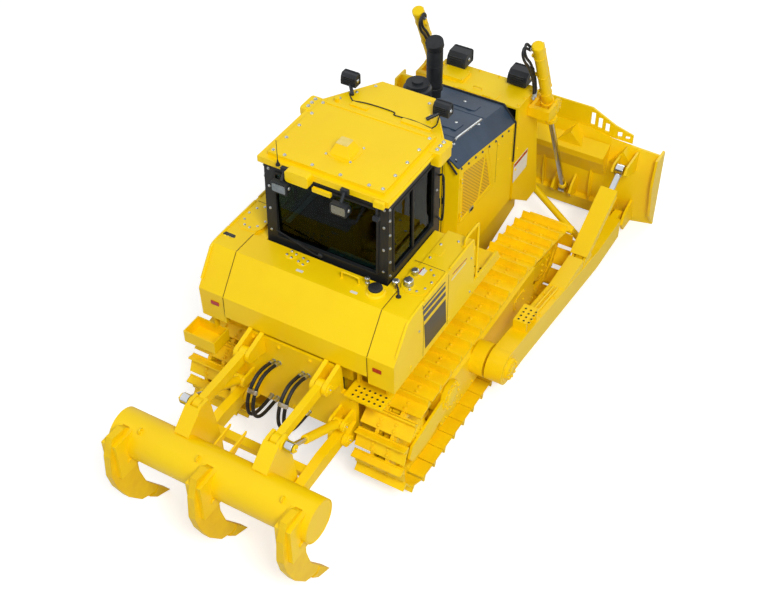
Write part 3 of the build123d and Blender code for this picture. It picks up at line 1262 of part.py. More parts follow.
# ---------------------------------------------------------------- ripper
arm_ear = 45
with BuildPart() as ripper_bracket:
    # back plate on the steering case
    block(-1790, -1730 - running_gap, -680, 680, 680, 1250)
    slab([(-1790, 1250), (-1790, 1580), (-1760, 1580), (-1735, 1250)], -520, 520)
    # ears: middle across, half width of what turns inside, pivot, radius
    ears = [(ripper_arm_y, ripper_arm_width / 2, arm_pivot_x, arm_pivot_z, 80),
            (upper_link_y, upper_link_width / 2, link_pivot_x, link_pivot_z, 75)]
    for side in (-1, 1):
        for middle, half, ear_x, ear_z, ear_radius in ears:
            for end in (-1, 1):
                near = side * middle + end * (half + swing_gap)
                far = near + end * arm_ear
                slab([(-1785, ear_z - 130), (ear_x, ear_z - ear_radius), (ear_x, ear_z + ear_radius),
                      (-1785, ear_z + 130)], near, far)
                drum(ear_x, ear_z, ear_radius, near, far)
                drum(ear_x, ear_z, ripper_pin_radius + pin_fit, near - end, far + end, Mode.SUBTRACT)
        # ears of the ripper cylinders
        for end in (-1, 1):
            near = side * ripper_arm_y + end * (46 + swing_gap)
            far = near + end * 30
            slab([(-1785, ram_pivot_z - 60), (ram_pivot_x, ram_pivot_z - 60), (ram_pivot_x, ram_pivot_z + 60),
                  (-1785, ram_pivot_z + 60)], near, far)
            drum(ram_pivot_x, ram_pivot_z, 60, near, far)
            drum(ram_pivot_x, ram_pivot_z, 30 + pin_fit, near - end, far + end, Mode.SUBTRACT)
finish(ripper_bracket, "ripper_bracket")

with BuildPart() as ripper_lower_frame:
    for side in (-1, 1):
        y0 = side * (ripper_arm_y - ripper_arm_width / 2)
        y1 = side * (ripper_arm_y + ripper_arm_width / 2)
        slab([(arm_pivot_x, arm_pivot_z - 75), (arm_joint_x, arm_joint_z - 75), (arm_joint_x, arm_joint_z + 75),
              (-2300, arm_pivot_z + 90), (arm_pivot_x, arm_pivot_z + 75)], y0, y1)
        drum(arm_pivot_x, arm_pivot_z, 75, y0, y1)
        drum(arm_joint_x, arm_joint_z, 75, y0, y1)
        drum(arm_pivot_x, arm_pivot_z, ripper_pin_radius, side * (ripper_arm_y - ripper_arm_width / 2 - swing_gap - arm_ear),
             side * (ripper_arm_y + ripper_arm_width / 2 + swing_gap + arm_ear))
        drum(arm_joint_x, arm_joint_z, ripper_pin_radius, side * (ripper_arm_y - ripper_arm_width / 2 - 180), y0)
    # cross member between the arms
    inner_y = ripper_arm_y - ripper_arm_width / 2
    block(arm_joint_x + 155, arm_joint_x + 250, -inner_y, inner_y, arm_pivot_z - 40, arm_pivot_z + 40)
finish(ripper_lower_frame, "ripper_lower_frame")

with BuildPart() as ripper_upper_links:
    for side in (-1, 1):
        y0 = side * (upper_link_y - upper_link_width / 2)
        y1 = side * (upper_link_y + upper_link_width / 2)
        slab([(link_pivot_x, link_pivot_z - 55), (tower_pin_x, tower_pin_z - 55), (tower_pin_x, tower_pin_z + 55),
              (link_pivot_x, link_pivot_z + 55)], y0, y1)
        drum(link_pivot_x, link_pivot_z, 72, y0, y1)
        drum(tower_pin_x, tower_pin_z, 72, y0, y1)
        drum(link_pivot_x, link_pivot_z, ripper_pin_radius, side * (upper_link_y - upper_link_width / 2 - swing_gap - arm_ear),
             side * (upper_link_y + upper_link_width / 2 + swing_gap + arm_ear))
        drum(tower_pin_x, tower_pin_z, ripper_pin_radius, side * (upper_link_y - upper_link_width / 2 - swing_gap - tower_plate),
             side * (upper_link_y + upper_link_width / 2 + swing_gap + tower_plate))
finish(ripper_upper_links, "ripper_upper_links")

with BuildPart() as ripper_beam:
    with BuildSketch(Plane.XZ.offset(-beam_half_width)) as tube:
        with Locations((beam_x, beam_z)):
            Circle(beam_radius)
            Circle(beam_radius - 40, mode=Mode.SUBTRACT)
    extrude(tube.sketch, amount=2 * beam_half_width)
    for side in (-1, 1):
        drum(beam_x, beam_z, beam_radius - 20, side * (beam_half_width - 30), side * beam_half_width)
        for end in (-1, 1):
            near = side * upper_link_y + end * (upper_link_width / 2 + swing_gap)
            far = near + end * tower_plate
            slab([(tower_pin_x - 60, tower_pin_z + 70), (tower_pin_x + 60, tower_pin_z + 70),
                  (tower_pin_x + 85, tower_pin_z - 60), (arm_joint_x + 90, arm_joint_z + 60),
                  (arm_joint_x + 90, arm_joint_z - 90), (arm_joint_x - 90, arm_joint_z - 90),
                  (beam_x + 100, beam_z - 190), (beam_x + 60, beam_z + 205)], near, far)
            drum(tower_pin_x, tower_pin_z, ripper_pin_radius + closed_loop_fit, near - end, far + end, Mode.SUBTRACT)
            drum(arm_joint_x, arm_joint_z, ripper_pin_radius + pin_fit, near - end, far + end, Mode.SUBTRACT)
        # boss beside the ripper cylinder's eye; the barrel's mouth passes it when the ripper is down
        tower_outer_y = upper_link_y + upper_link_width / 2 + swing_gap + tower_plate
        drum(tower_pin_x, tower_pin_z, 62, side * tower_outer_y, side * (ripper_arm_y - 46 - swing_gap))
    # pockets that the shanks stand in, each with its cross pin
    for shank_y in shank_places:
        cheek = shank_thickness / 2 + shank_fit
        block(pocket_rear_x, beam_x, shank_y - cheek - pocket_plate, shank_y + cheek + pocket_plate,
              pocket_low_z, pocket_high_z)
        block(pocket_rear_x - 1, shank_front_x + shank_fit, shank_y - cheek, shank_y + cheek,
              pocket_low_z - 1, pocket_high_z + 1, Mode.SUBTRACT)
        drum(shank_pin_x, shank_pin_z, shank_pin_radius, shank_y - cheek - pocket_plate - 15,
             shank_y + cheek + pocket_plate + 15)
finish(ripper_beam, "ripper_beam")

# A shank in side view, down its front and up its back
shank_side = [(shank_front_x, 1330), (shank_front_x, 700), (shank_front_x + 60, 460), (shank_front_x + 190, 260),
              (shank_front_x + 140, 205), (shank_front_x - 50, 300), (shank_rear_x + 140, 520),
              (shank_rear_x + 40, 760), (shank_rear_x, 960), (shank_rear_x + 30, 1220), (shank_rear_x + 110, 1410),
              (shank_front_x - 70, 1395)]
# A point in side view: it caps the shank's toe, and its tip is the lowest thing on the ripper
point_side = [(shank_front_x + 190 - running_gap, 259), (shank_front_x + 340, 30), (shank_front_x + 150, 120),
              (shank_front_x + 50, 235), (shank_front_x + 140 - running_gap, 204)]
with BuildPart() as ripper_shanks:
    for shank_y in shank_places:
        slab(shank_side, shank_y - shank_thickness / 2, shank_y + shank_thickness / 2)
        drum(shank_pin_x, shank_pin_z, shank_pin_radius + pin_fit, shank_y - shank_thickness,
             shank_y + shank_thickness, Mode.SUBTRACT)
finish(ripper_shanks, "ripper_shanks")

with BuildPart() as ripper_points:
    for shank_y in shank_places:
        slab(point_side, shank_y - 45, shank_y + 45)
finish(ripper_points, "ripper_points")

ram_length = math.dist((ram_pivot_x, ram_pivot_z), (tower_pin_x, tower_pin_z))
ram_barrel_length = 650      # from the pivot to the mouth
ram_barrel_radius = 46
ram_bore_radius = 36
ram_bottom = 70              # from the pivot to the bottom of the bore
ram_gland = 35
ram_piston_at = 285          # from the pivot, as the cylinder stands
ram_piston_length = 30
ram_rod_radius = 27


def on_ram(distance, y):
    """A point on a ripper cylinder's line, from its front pivot towards the tower."""
    x, z = along((ram_pivot_x, ram_pivot_z), (tower_pin_x, tower_pin_z), distance)
    return (x, y, z)


with BuildPart() as ripper_cylinder_barrels:
    for side in (-1, 1):
        y = side * ripper_arm_y
        bar(on_ram(40, y), on_ram(ram_barrel_length, y), ram_barrel_radius)
        bar(on_ram(ram_bottom, y), on_ram(ram_barrel_length - ram_gland, y), ram_bore_radius, Mode.SUBTRACT)
        bar(on_ram(ram_barrel_length - ram_gland - 1, y), on_ram(ram_barrel_length + 1, y), ram_rod_radius + pin_fit,
            Mode.SUBTRACT)
        drum(ram_pivot_x, ram_pivot_z, 56, y - 46, y + 46)
        drum(ram_pivot_x, ram_pivot_z, 30, y - 46 - swing_gap - 30, y + 46 + swing_gap + 30)
finish(ripper_cylinder_barrels, "ripper_cylinder_barrels")

with BuildPart() as ripper_cylinder_rods:
    for side in (-1, 1):
        y = side * ripper_arm_y
        bar(on_ram(ram_piston_at, y), on_ram(ram_length - 40, y), ram_rod_radius)
        bar(on_ram(ram_piston_at, y), on_ram(ram_piston_at + ram_piston_length, y), ram_bore_radius - running_gap)
        drum(tower_pin_x, tower_pin_z, 55, side * (ripper_arm_y - 40), side * (ripper_arm_y + 40))
finish(ripper_cylinder_rods, "ripper_cylinder_rods")

# ---------------------------------------------------------------- ripper hoses
hose_radius = 19
hose_start_lean = 7.9  # the cut ends lean, so their middles stay this far off the plate
hose_end_lean = 1.3
# Each hose leaves the bracket's plate, hangs rearward in a loop and goes back into it: along, sideways share, up
hose_route = [(-1790, 0.0, 1300), (-1990, 0.1, 1380), (-2180, 0.3, 1280), (-2250, 0.5, 1070), (-2210, 0.7, 880),
              (-2060, 0.85, 760), (-1790, 1.0, 760)]
# name, where it leaves the plate and where it goes back, across
hose_places = [("hose_left_outer", 250, 320), ("hose_left_inner", 190, 250),
               ("hose_right_inner", -90, -60), ("hose_right_outer", -150, -130)]


def bend_radii(points):
    """For each corner, 0.45 of the shorter run over the tangent of half the turn."""
    radii = []
    for before, corner, after in zip(points, points[1:], points[2:]):
        way_in = Vector(*corner) - Vector(*before)
        way_out = Vector(*after) - Vector(*corner)
        half_turn = math.radians(way_in.get_angle(way_out)) / 2
        radii.append(round(0.45 * min(way_in.length, way_out.length) / math.tan(half_turn), 1))
    return radii


for hose_name, out_y, back_y in hose_places:
    route = [(x, out_y + share * (back_y - out_y), z) for x, share, z in hose_route]
    route[0] = (route[0][0] - hose_start_lean, *route[0][1:])
    route[-1] = (route[-1][0] - hose_end_lean, *route[-1][1:])
    with BuildPart() as hose:
        with BuildLine() as middle_line:
            FilletPolyline(*route, radius=bend_radii(route))
        with BuildSketch(Plane(origin=route[0], z_dir=middle_line.wire() % 0)):
            Circle(hose_radius)
        sweep()
    print(hose_name, "radii", bend_radii(route), "length", round(middle_line.wire().length, 1),
          "volume ratio", round(hose.part.volume / (math.pi * hose_radius ** 2 * middle_line.wire().length), 4))
    finish(hose, hose_name)
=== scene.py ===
# %% [markdown]
# # A crawler bulldozer, dressed
# The solid model already has the machine's plates, castings and joints, in metres, with +X ahead and +Z up.
# This lesson gives each of them the finish of the real thing and adds what is too small for the solid
# model: bolts, hoses, handrails, seals, lamps and stripes. Every added piece rides on the body that carries
# it.

# %% Load the frame
import bpy
import bmesh
import math
from mathutils import Matrix, Vector


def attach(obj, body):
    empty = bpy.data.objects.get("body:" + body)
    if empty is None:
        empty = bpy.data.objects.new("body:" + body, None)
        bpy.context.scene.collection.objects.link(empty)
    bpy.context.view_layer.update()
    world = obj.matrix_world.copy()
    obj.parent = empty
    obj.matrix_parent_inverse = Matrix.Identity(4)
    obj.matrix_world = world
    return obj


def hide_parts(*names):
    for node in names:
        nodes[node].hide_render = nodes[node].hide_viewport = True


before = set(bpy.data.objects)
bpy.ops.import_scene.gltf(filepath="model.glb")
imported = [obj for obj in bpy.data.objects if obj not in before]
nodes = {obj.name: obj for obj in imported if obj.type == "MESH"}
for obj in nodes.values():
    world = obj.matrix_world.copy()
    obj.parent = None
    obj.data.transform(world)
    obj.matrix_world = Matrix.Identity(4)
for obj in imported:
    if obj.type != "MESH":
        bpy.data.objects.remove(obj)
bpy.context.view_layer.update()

# %% [markdown]
# A camera stands behind the machine, on its right, about as high as a first-floor roof. It comes first,
# because everything else is judged through it. Its aim is built from two angles, so that each can be
# changed alone.

# %% Camera
IMAGE_WIDTH = 780
FOCAL_PIXELS = 1256.2
heading, dip, roll = 0.529, 0.763, -0.008
ahead = Vector((math.cos(heading) * math.cos(dip), math.sin(heading) * math.cos(dip), -math.sin(dip)))
level_right = Vector((math.sin(heading), -math.cos(heading), 0))
level_up = level_right.cross(ahead)
right = level_right * math.cos(roll) + level_up * math.sin(roll)
up = level_up * math.cos(roll) - level_right * math.sin(roll)
lens = bpy.data.cameras.new("view")
lens.sensor_width = 36
lens.lens = FOCAL_PIXELS * lens.sensor_width / IMAGE_WIDTH
lens.clip_end = 300
camera = bpy.data.objects.new("view", lens)
bpy.context.scene.collection.objects.link(camera)
camera.matrix_world = Matrix(((right.x, up.x, -ahead.x, -8.58), (right.y, up.y, -ahead.y, -5.044),
    (right.z, up.z, -ahead.z, 10.271), (0, 0, 0, 1)))
bpy.context.scene.camera = camera
print("lens", round(lens.lens, 2), "mm")

# %% [markdown]
# Colours are written as a painter's chart gives them, in hex. Blender mixes light in linear values, so one
# function turns each chart colour into a linear one. One more function adds a node, with its settings and
# its links.

# %% Colours and nodes
def linear(chart):
    """A chart colour such as #F2C200 as the linear colour that Blender's sockets take."""
    shares = [int(chart[place:place + 2], 16) / 255 for place in (1, 3, 5)]
    return [share / 12.92 if share <= 0.04045 else ((share + 0.055) / 1.055) ** 2.4
        for share in shares] + [1]


def add(tree, kind, settings=None, links=None):
    """One shader node. Settings go to its sockets or its properties, links come from other nodes' sockets."""
    node = tree.nodes.new("ShaderNode" + kind)
    for name, value in (settings or {}).items():
        if isinstance(name, int) or name in node.inputs:
            node.inputs[name].default_value = value
        else:
            setattr(node, name, value)
    for name, source in (links or {}).items():
        tree.links.new(source, node.inputs[name])
    return node


def blank_material(name):
    """A material with an empty node tree and its output."""
    made = bpy.data.materials.new(name)
    made.use_nodes = True
    made.node_tree.nodes.clear()
    return made, made.node_tree, made.node_tree.nodes.new("ShaderNodeOutputMaterial")


print("enamel yellow is", [round(c, 3) for c in linear("#F6C600")])

# %% [markdown]
# Most surfaces here are one coat of something over metal. They differ in colour, in how even the colour is,
# in how the gloss breaks up and in the fine relief. One function makes such a finish from those facts.
# Object coordinates are metres, so a pattern's scale is one over its size in metres. A bevel node rounds
# each sharp plate edge by a few millimetres in the light only, the way a sprayed coat rounds it.

# %% A finish from its facts
def finish(name, chart, second=None, roughness=0.4, metallic=0.0, coat=0.0, ior=1.5, patch=0.5, grain=0.01,
           relief=0.0006, spread=0.08, edge=0.004):
    """A coat or a bare surface in two near colours; patch and grain are its patterns' sizes in metres."""
    made, tree, output = blank_material(name)
    place = add(tree, "TexCoord").outputs["Object"]
    clouds = add(tree, "TexNoise", {"Scale": 1 / patch, "Detail": 4.0, "Roughness": 0.6}, {"Vector": place})
    fine = add(tree, "TexNoise", {"Scale": 1 / grain, "Detail": 2.0}, {"Vector": place})
    tone = add(tree, "ValToRGB", links={"Fac": clouds.outputs["Fac"]})
    tone.color_ramp.elements[0].position = 0.35
    tone.color_ramp.elements[0].color = linear(second or chart)
    tone.color_ramp.elements[1].position = 0.65
    tone.color_ramp.elements[1].color = linear(chart)
    gloss = add(tree, "MapRange", {"To Min": roughness - spread / 2, "To Max": roughness + spread / 2},
        {"Value": clouds.outputs["Fac"]})
    edges = add(tree, "Bevel", {"samples": 4, "Radius": edge})
    bumps = add(tree, "Bump", {"Strength": 0.5, "Distance": relief},
        {"Height": fine.outputs["Fac"], "Normal": edges.outputs["Normal"]})
    surface = add(tree, "BsdfPrincipled", {"Metallic": metallic, "Coat Weight": coat,
        "Coat Roughness": 0.08}, {"Base Color": tone.outputs["Color"], "Roughness": gloss.outputs["Result"],
        "Normal": bumps.outputs["Normal"]})
    if not metallic:
        surface.inputs["IOR"].default_value = ior
        surface.inputs["Specular IOR Level"].default_value = 0.3
    tree.links.new(surface.outputs["BSDF"], output.inputs["Surface"])
    return made


# %% [markdown]
# The machine is sprayed with two-part polyurethane enamel. It is a saturated yellow, a little deeper where
# the coat is thin, with a clear wet gloss. Castings get the same coat, but their sand-cast skin shows
# through as a pebbled relief. The shoes of the tracks are hot-rolled steel, dipped and matter.

# %% Painted steel
enamel = finish("polyurethane_enamel_sprayed", "#FFDA00", "#FCD200", roughness=0.4, coat=0.12, patch=0.9,
    grain=0.012, relief=0.0003)
cast_enamel = finish("polyurethane_enamel_on_sand_casting", "#FDD400", "#F4C600", roughness=0.44, coat=0.08,
    patch=0.25, grain=0.014, relief=0.0022, edge=0.008)
shoe_enamel = finish("alkyd_enamel_on_rolled_shoes", "#FFD800", "#F8CA00", roughness=0.48, coat=0.05,
    patch=0.18, grain=0.02, relief=0.0012, edge=0.006)
cover_paint = finish("navy_grey_enamel_satin", "#3A4C62", "#304054", roughness=0.46, coat=0.04, patch=0.5,
    grain=0.012, relief=0.0004)
frame_paint = finish("charcoal_powder_coat", "#232527", "#1C1E20", roughness=0.42, patch=0.3, grain=0.004,
    relief=0.0005)
# a paler yellow for the lid of the roof's pod
pale_paint = finish("polyurethane_enamel_pale_lid", "#F3DC84", "#EBD06C", roughness=0.5, patch=0.06,
    grain=0.01, relief=0.0004)
stack_paint = finish("heat_proof_black_silicone_paint", "#1B1C1E", "#242629", roughness=0.5, patch=0.12,
    grain=0.006, relief=0.0006)
print("paints", enamel.name, cover_paint.name, frame_paint.name)

# %% [markdown]
# Bare metal shows on few places: the hard-chromed rods, zinc-plated fittings, and the steel of engine and
# radiator deep inside. Black rubber, moulded plastic and woven cloth finish the cab and the hoses.

# %% Metal, rubber, plastic and cloth
chrome = finish("hard_chrome_ground", "#D6D9DC", "#C9CDD1", roughness=0.14, metallic=1.0, patch=0.1,
    grain=0.004, relief=0.0001, spread=0.06)
zinc = finish("zinc_plated_steel", "#C3C7C9", "#AEB3B6", roughness=0.3, metallic=1.0, patch=0.03,
    grain=0.003, relief=0.0002, spread=0.12)
cast_iron = finish("machined_cast_iron", "#4A4947", "#3B3A39", roughness=0.55, metallic=0.6, patch=0.15,
    grain=0.01, relief=0.001)
rubber = finish("moulded_black_rubber", "#17181A", "#202224", roughness=0.55, patch=0.1, grain=0.003,
    relief=0.0006)
hose_rubber = finish("wrapped_hydraulic_hose_rubber", "#1C1D1F", "#25272A", roughness=0.48, patch=0.06,
    grain=0.004, relief=0.001)
abs_black = finish("abs_plastic_grained", "#1D2024", "#262A2F", roughness=0.42, patch=0.2, grain=0.0025,
    relief=0.0004)
trim_grey = finish("abs_plastic_pale_trim", "#9FB0AC", "#93A5A1", roughness=0.5, patch=0.2, grain=0.003,
    relief=0.0004)
seat_cloth = finish("woven_polyester_cloth", "#26282B", "#1D1F22", roughness=0.9, patch=0.05, grain=0.003,
    relief=0.0015, edge=0.02)
red_webbing = finish("woven_red_webbing", "#B3202A", "#8E1720", roughness=0.8, patch=0.02, grain=0.003,
    relief=0.0008)
red_lens = finish("red_acrylic_reflector", "#C21F22", "#A81419", roughness=0.12, coat=0.6, ior=1.49,
    patch=0.02, grain=0.006, relief=0.0008)
navy_film = finish("cast_vinyl_film_navy", "#1F2D4E", "#1B2746", roughness=0.3, coat=0.2, patch=0.3,
    grain=0.01, relief=0.0001)
black_film = finish("cast_vinyl_film_black", "#1D2126", "#22272C", roughness=0.32, coat=0.2, patch=0.3,
    grain=0.01, relief=0.0001)
white_film = finish("cast_vinyl_film_white", "#ECECE6", "#E4E4DE", roughness=0.4, patch=0.1, grain=0.01,
    relief=0.0001)


def glass_finish(name, chart, roughness):
    """Clear glass with a body tint."""
    made, tree, output = blank_material(name)
    place = add(tree, "TexCoord").outputs["Object"]
    waves = add(tree, "TexNoise", {"Scale": 3.0, "Detail": 1.0}, {"Vector": place})
    bumps = add(tree, "Bump", {"Strength": 0.15, "Distance": 0.001}, {"Height": waves.outputs["Fac"]})
    surface = add(tree, "BsdfPrincipled", {"Base Color": linear(chart), "Roughness": roughness, "IOR": 1.18,
        "Specular IOR Level": 0.1, "Transmission Weight": 1.0}, {"Normal": bumps.outputs["Normal"]})
    tree.links.new(surface.outputs["BSDF"], output.inputs["Surface"])
    return made


# Float glass is even and slightly green through its thickness. A lamp's lens is moulded polycarbonate.
cab_glass = glass_finish("toughened_float_glass_tinted", "#5C7A78", 0.01)
lens_clear = glass_finish("polycarbonate_lens_moulded", "#E6EAEC", 0.12)
print("materials", len(bpy.data.materials))

# %% [markdown]
# The solid model's parts get their finish by name. What isn't in the table is sprayed sheet or plate.

# %% Finish of the solid parts
part_finish = {cast_enamel: ("ripper_shanks", "ripper_points", "final_drives", "sprockets", "idlers",
    "track_rollers", "lift_yokes", "cross_shafts"), shoe_enamel: ("track_left", "track_right"),
    cover_paint: ("hood_cover",), frame_paint: ("cab_frame", "cab_door_left", "cab_door_right"),
    stack_paint: ("exhaust_stack",), abs_black: ("air_precleaner", "control_consoles", "work_lamps",
    "filler_caps"), chrome: ("lift_cylinder_rods", "tilt_cylinder_rod", "ripper_cylinder_rods"),
    cast_iron: ("engine_block", "radiator", "steering_case"),
    cab_glass: ("cab_glass", "door_glass_left", "door_glass_right"), seat_cloth: ("operator_seat",), }
finish_of = {node: material for material, names in part_finish.items() for node in names}
for node, part in nodes.items():
    part.data.materials.clear()
    part.data.materials.append(finish_of.get(node, enamel))
print("finished", len(nodes), "solid parts")
# %% [markdown]
# Small pieces are made in four ways. A plate is an outline pushed out to a thickness. A turned piece is a
# profile spun on an axis. A line is a round bar or pipe along smooth points. A bolt is a turned washer with
# a six-sided head. All are made on one bench; settle takes what lies there as one piece and clears the
# bench. A small bevel lets a piece's edges catch the light.

# %% Ways to make a small piece
TOP = ((1, 0, 0), (0, 1, 0))
RIGHT = ((1, 0, 0), (0, 0, 1))
LEFT = ((-1, 0, 0), (0, 0, 1))
REAR = ((0, -1, 0), (0, 0, 1))
FRONT = ((0, 1, 0), (0, 0, 1))
SIDE = {1: LEFT, -1: RIGHT}
SIDES = ((1, "left"), (-1, "right"))
ABOUT = Matrix.Rotation(math.pi, 4, "Y")
STRAP_STEPS = 6
bench = bmesh.new()


def seat(origin, across, up):
    """A local frame on a surface: x along across, y up it, z out of it."""
    x = Vector(across).normalized()
    z = x.cross(Vector(up)).normalized()
    return Matrix.Translation(Vector(origin)) @ Matrix((x, z.cross(x), z)).transposed().to_4x4()


def on(facing, x, y, z):
    """A local frame at a point of a surface that faces one of the six ways."""
    return seat((x, y, z), *facing)


def beside(side, x, y, z):
    """A local frame on a surface that faces sideways, on the left or on the right."""
    return on(SIDE[side], x, side * y, z)


def leaning(lean, x, y, z):
    """A local frame on a surface that faces back and leans ahead by a share of its rise."""
    return seat((x, y, z), (0, -1, 0), (lean, 0, 1))


def flip(side, points):
    """Points of the left side, or their mirror image."""
    return [(x, side * y, z) for x, y, z in points]


def by(x, y, z):
    """A shift inside a local frame."""
    return Matrix.Translation((x, y, z))


def around(count, radius, start=0.0):
    """Points spaced evenly on a circle."""
    angles = [2 * math.pi * n / count + start for n in range(count)]
    return [(radius * math.cos(angle), radius * math.sin(angle)) for angle in angles]


def joined(rings, skin=0, capped=True, looped=False):
    """Faces between rings of equal points; the first and last ring are closed, or joined to each other."""
    made = [bench.faces.new(rings[0][::-1]), bench.faces.new(rings[-1])] if capped else []
    for ring, following in zip(rings, rings[1:] + rings[:1] * looped):
        for n in range(len(ring)):
            made.append(bench.faces.new((ring[n - 1], ring[n], following[n], following[n - 1])))
    for face in made:
        face.material_index = skin


def plate(place, outline, thickness, skin=0):
    """A flat outline pushed out to a thickness."""
    joined([[bench.verts.new(place @ Vector((x, y, z))) for x, y in outline] for z in (0, thickness)], skin)


def slabbed(y0, y1, outline, skin=0):
    """A side view outline, (along, up), between two places across."""
    plate(on(RIGHT, 0, max(y0, y1), 0), outline, abs(y1 - y0), skin)


def strap(start, end, radius):
    """The side view outline of a flat bar with round ends between two (along, up) points."""
    angle = math.atan2(end[1] - start[1], end[0] - start[0])
    halves = ((end, angle - math.pi / 2), (start, angle + math.pi / 2))
    turns = [(middle, turn + math.pi * k / STRAP_STEPS) for middle, turn in halves
        for k in range(STRAP_STEPS + 1)]
    return [(x + radius * math.cos(turn), z + radius * math.sin(turn)) for (x, z), turn in turns]


def turned(place, profile, sides=20, skin=0, hollow=False):
    """A piece spun on the local z axis from (radius, height) pairs, closed at both ends or a hollow ring."""
    joined([[bench.verts.new(place @ Vector((x, y, height))) for x, y in around(sides, radius)] for radius,
        height in profile], skin, not hollow, hollow)


def cap(place, radius, rise, top_radius, height, sides=20, skin=0):
    """A round cap: straight up to the rise, then drawn in to a smaller top."""
    turned(place, [(radius, 0), (radius, rise), (top_radius, height)], sides, skin)


def bolt(place, size=0.03, skin=0):
    """A hexagon head on its washer; size is the width over the head's corners."""
    turned(place, [(0.68 * size, 0), (0.68 * size, 0.12 * size)], 12, skin)
    turned(place @ by(0, 0, 0.12 * size), [(0.5 * size, 0), (0.5 * size, 0.32 * size),
        (0.4 * size, 0.4 * size)], 6, skin)


def bolts(facing, size, places):
    """Bolts of one size on a surface that faces one of the six ways."""
    for place in places:
        bolt(on(facing, *place), size)


def rounded(width, height, radius, steps=4):
    """A rectangle round the origin with rounded corners."""
    points = []
    for corner, (sx, sy) in enumerate(((1, 1), (-1, 1), (-1, -1), (1, -1))):
        for step in range(steps + 1):
            angle = math.pi / 2 * (corner + step / steps)
            points.append((sx * (width / 2 - radius) + radius * math.cos(angle),
                sy * (height / 2 - radius) + radius * math.sin(angle)))
    return points


def pressed(place, width, height, radius, thickness, skin=0, steps=4):
    """A plate with rounded corners, its middle at the place."""
    plate(place, rounded(width, height, radius, steps), thickness, skin)


def smooth_way(points, steps=8):
    """A smooth curve through the points, each span divided into steps."""
    knots = [Vector(point) for point in points]
    ends = [2 * knots[0] - knots[1]] + knots + [2 * knots[-1] - knots[-2]]
    way = []
    for before, start, end, after in zip(ends, ends[1:], ends[2:], ends[3:]):
        for step in range(steps):
            t = step / steps
            way.append(0.5 * (2 * start + t * (end - before)
                + t * t * (2 * before - 5 * start + 4 * end - after)
                + t ** 3 * (3 * start - before - 3 * end + after)))
    return way + [knots[-1]]


def line(points, radius, sides=10, skin=0, steps=8):
    """A round bar or pipe along the points; steps of 0 keeps its corners."""
    way = smooth_way(points, steps) if steps else [Vector(point) for point in points]
    side_way = None
    rings = []
    for n, point in enumerate(way):
        ahead_of = (way[min(n + 1, len(way) - 1)] - way[max(n - 1, 0)]).normalized()
        if side_way is None:
            side_way = ahead_of.orthogonal()
        side_way = (side_way - ahead_of * side_way.dot(ahead_of)).normalized()
        other_way = ahead_of.cross(side_way)
        rings.append([bench.verts.new(point + radius * (x * side_way + y * other_way)) for x,
            y in around(sides, 1.0)])
    joined(rings, skin)


def rod(start, end, radius, sides):
    """A straight round bar."""
    line((start, end), radius, sides, steps=0)


triangles = {}


def settle(name, skins, edge=0.0, body="chassis"):
    """Makes what lies on the bench one piece, which rides on a body."""
    bmesh.ops.recalc_face_normals(bench, faces=bench.faces)
    data = bpy.data.meshes.new(name)
    bench.to_mesh(data)
    bench.clear()
    for skin in skins:
        data.materials.append(skin)
    data.shade_smooth()
    data.set_sharp_from_angle(angle=0.6)
    piece = bpy.data.objects.new(name, data)
    bpy.context.scene.collection.objects.link(piece)
    if edge:
        bevel = piece.modifiers.new("edge", "BEVEL")
        bevel.width = edge
        bevel.segments = 2
        bevel.limit_method = "ANGLE"
        bevel.angle_limit = 0.6
    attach(piece, body)
    triangles[name] = sum(len(face.vertices) - 2 for face in data.polygons)
    return piece


print("ready to make small pieces")

# %% [markdown]
# The ripper's four hoses come first of all pieces, because a hose is a real length of something that hangs.
# Each leaves the plate, rises, falls in a loop and goes back into the frame. The spline's control points
# are the hose's route; Blender smooths them, and the bevel gives the hose its thickness.

# %% Ripper hoses
HOSE_DIAMETER = 0.038
REAR_PLATE_X, HOSE_START_Z, HOSE_END_Z = -1.79, 1.3, 0.76
HOSE_ROUTE = [(REAR_PLATE_X, 0.0, HOSE_START_Z), (-1.99, 0.1, 1.38), (-2.18, 0.3, 1.28), (-2.25, 0.5, 1.07),
    (-2.21, 0.7, 0.88), (-2.06, 0.85, HOSE_END_Z), (REAR_PLATE_X, 1.0, HOSE_END_Z)]
HOSE_PLACES = {"hose_left_outer": (0.25, 0.32), "hose_left_inner": (0.19, 0.25),
    "hose_right_inner": (-0.09, -0.06), "hose_right_outer": (-0.15, -0.13)}
hose_ways, hose_pieces = {}, {}
for node, (out_y, back_y) in HOSE_PLACES.items():
    route = [[x, out_y + share * (back_y - out_y), z] for x, share, z in HOSE_ROUTE]
    # both ends lean a little in the plate, so the rubber starts just behind it
    route[0][0] -= 0.0079
    route[-1][0] -= 0.0013
    curve = bpy.data.curves.new(node + "_rubber", "CURVE")
    curve.dimensions = "3D"
    spline = curve.splines.new("NURBS")
    spline.points.add(len(route) - 1)
    for point, place in zip(spline.points, route):
        point.co = (*place, 1)
    spline.order_u = 3
    spline.use_endpoint_u = True
    spline.resolution_u = 12
    hose = bpy.data.objects.new(node + "_rubber", curve)
    bpy.context.scene.collection.objects.link(hose)
    bare = bpy.data.meshes.new_from_object(hose)
    hose_ways[node] = [vertex.co.copy() for vertex in bare.vertices]
    bpy.data.meshes.remove(bare)
    curve.bevel_depth = HOSE_DIAMETER / 2
    curve.bevel_resolution = 5
    curve.use_fill_caps = True
    curve.materials.append(hose_rubber)
    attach(hose, "chassis")
    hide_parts(node)
    hose_pieces[node] = hose
print("hoses", list(hose_pieces))
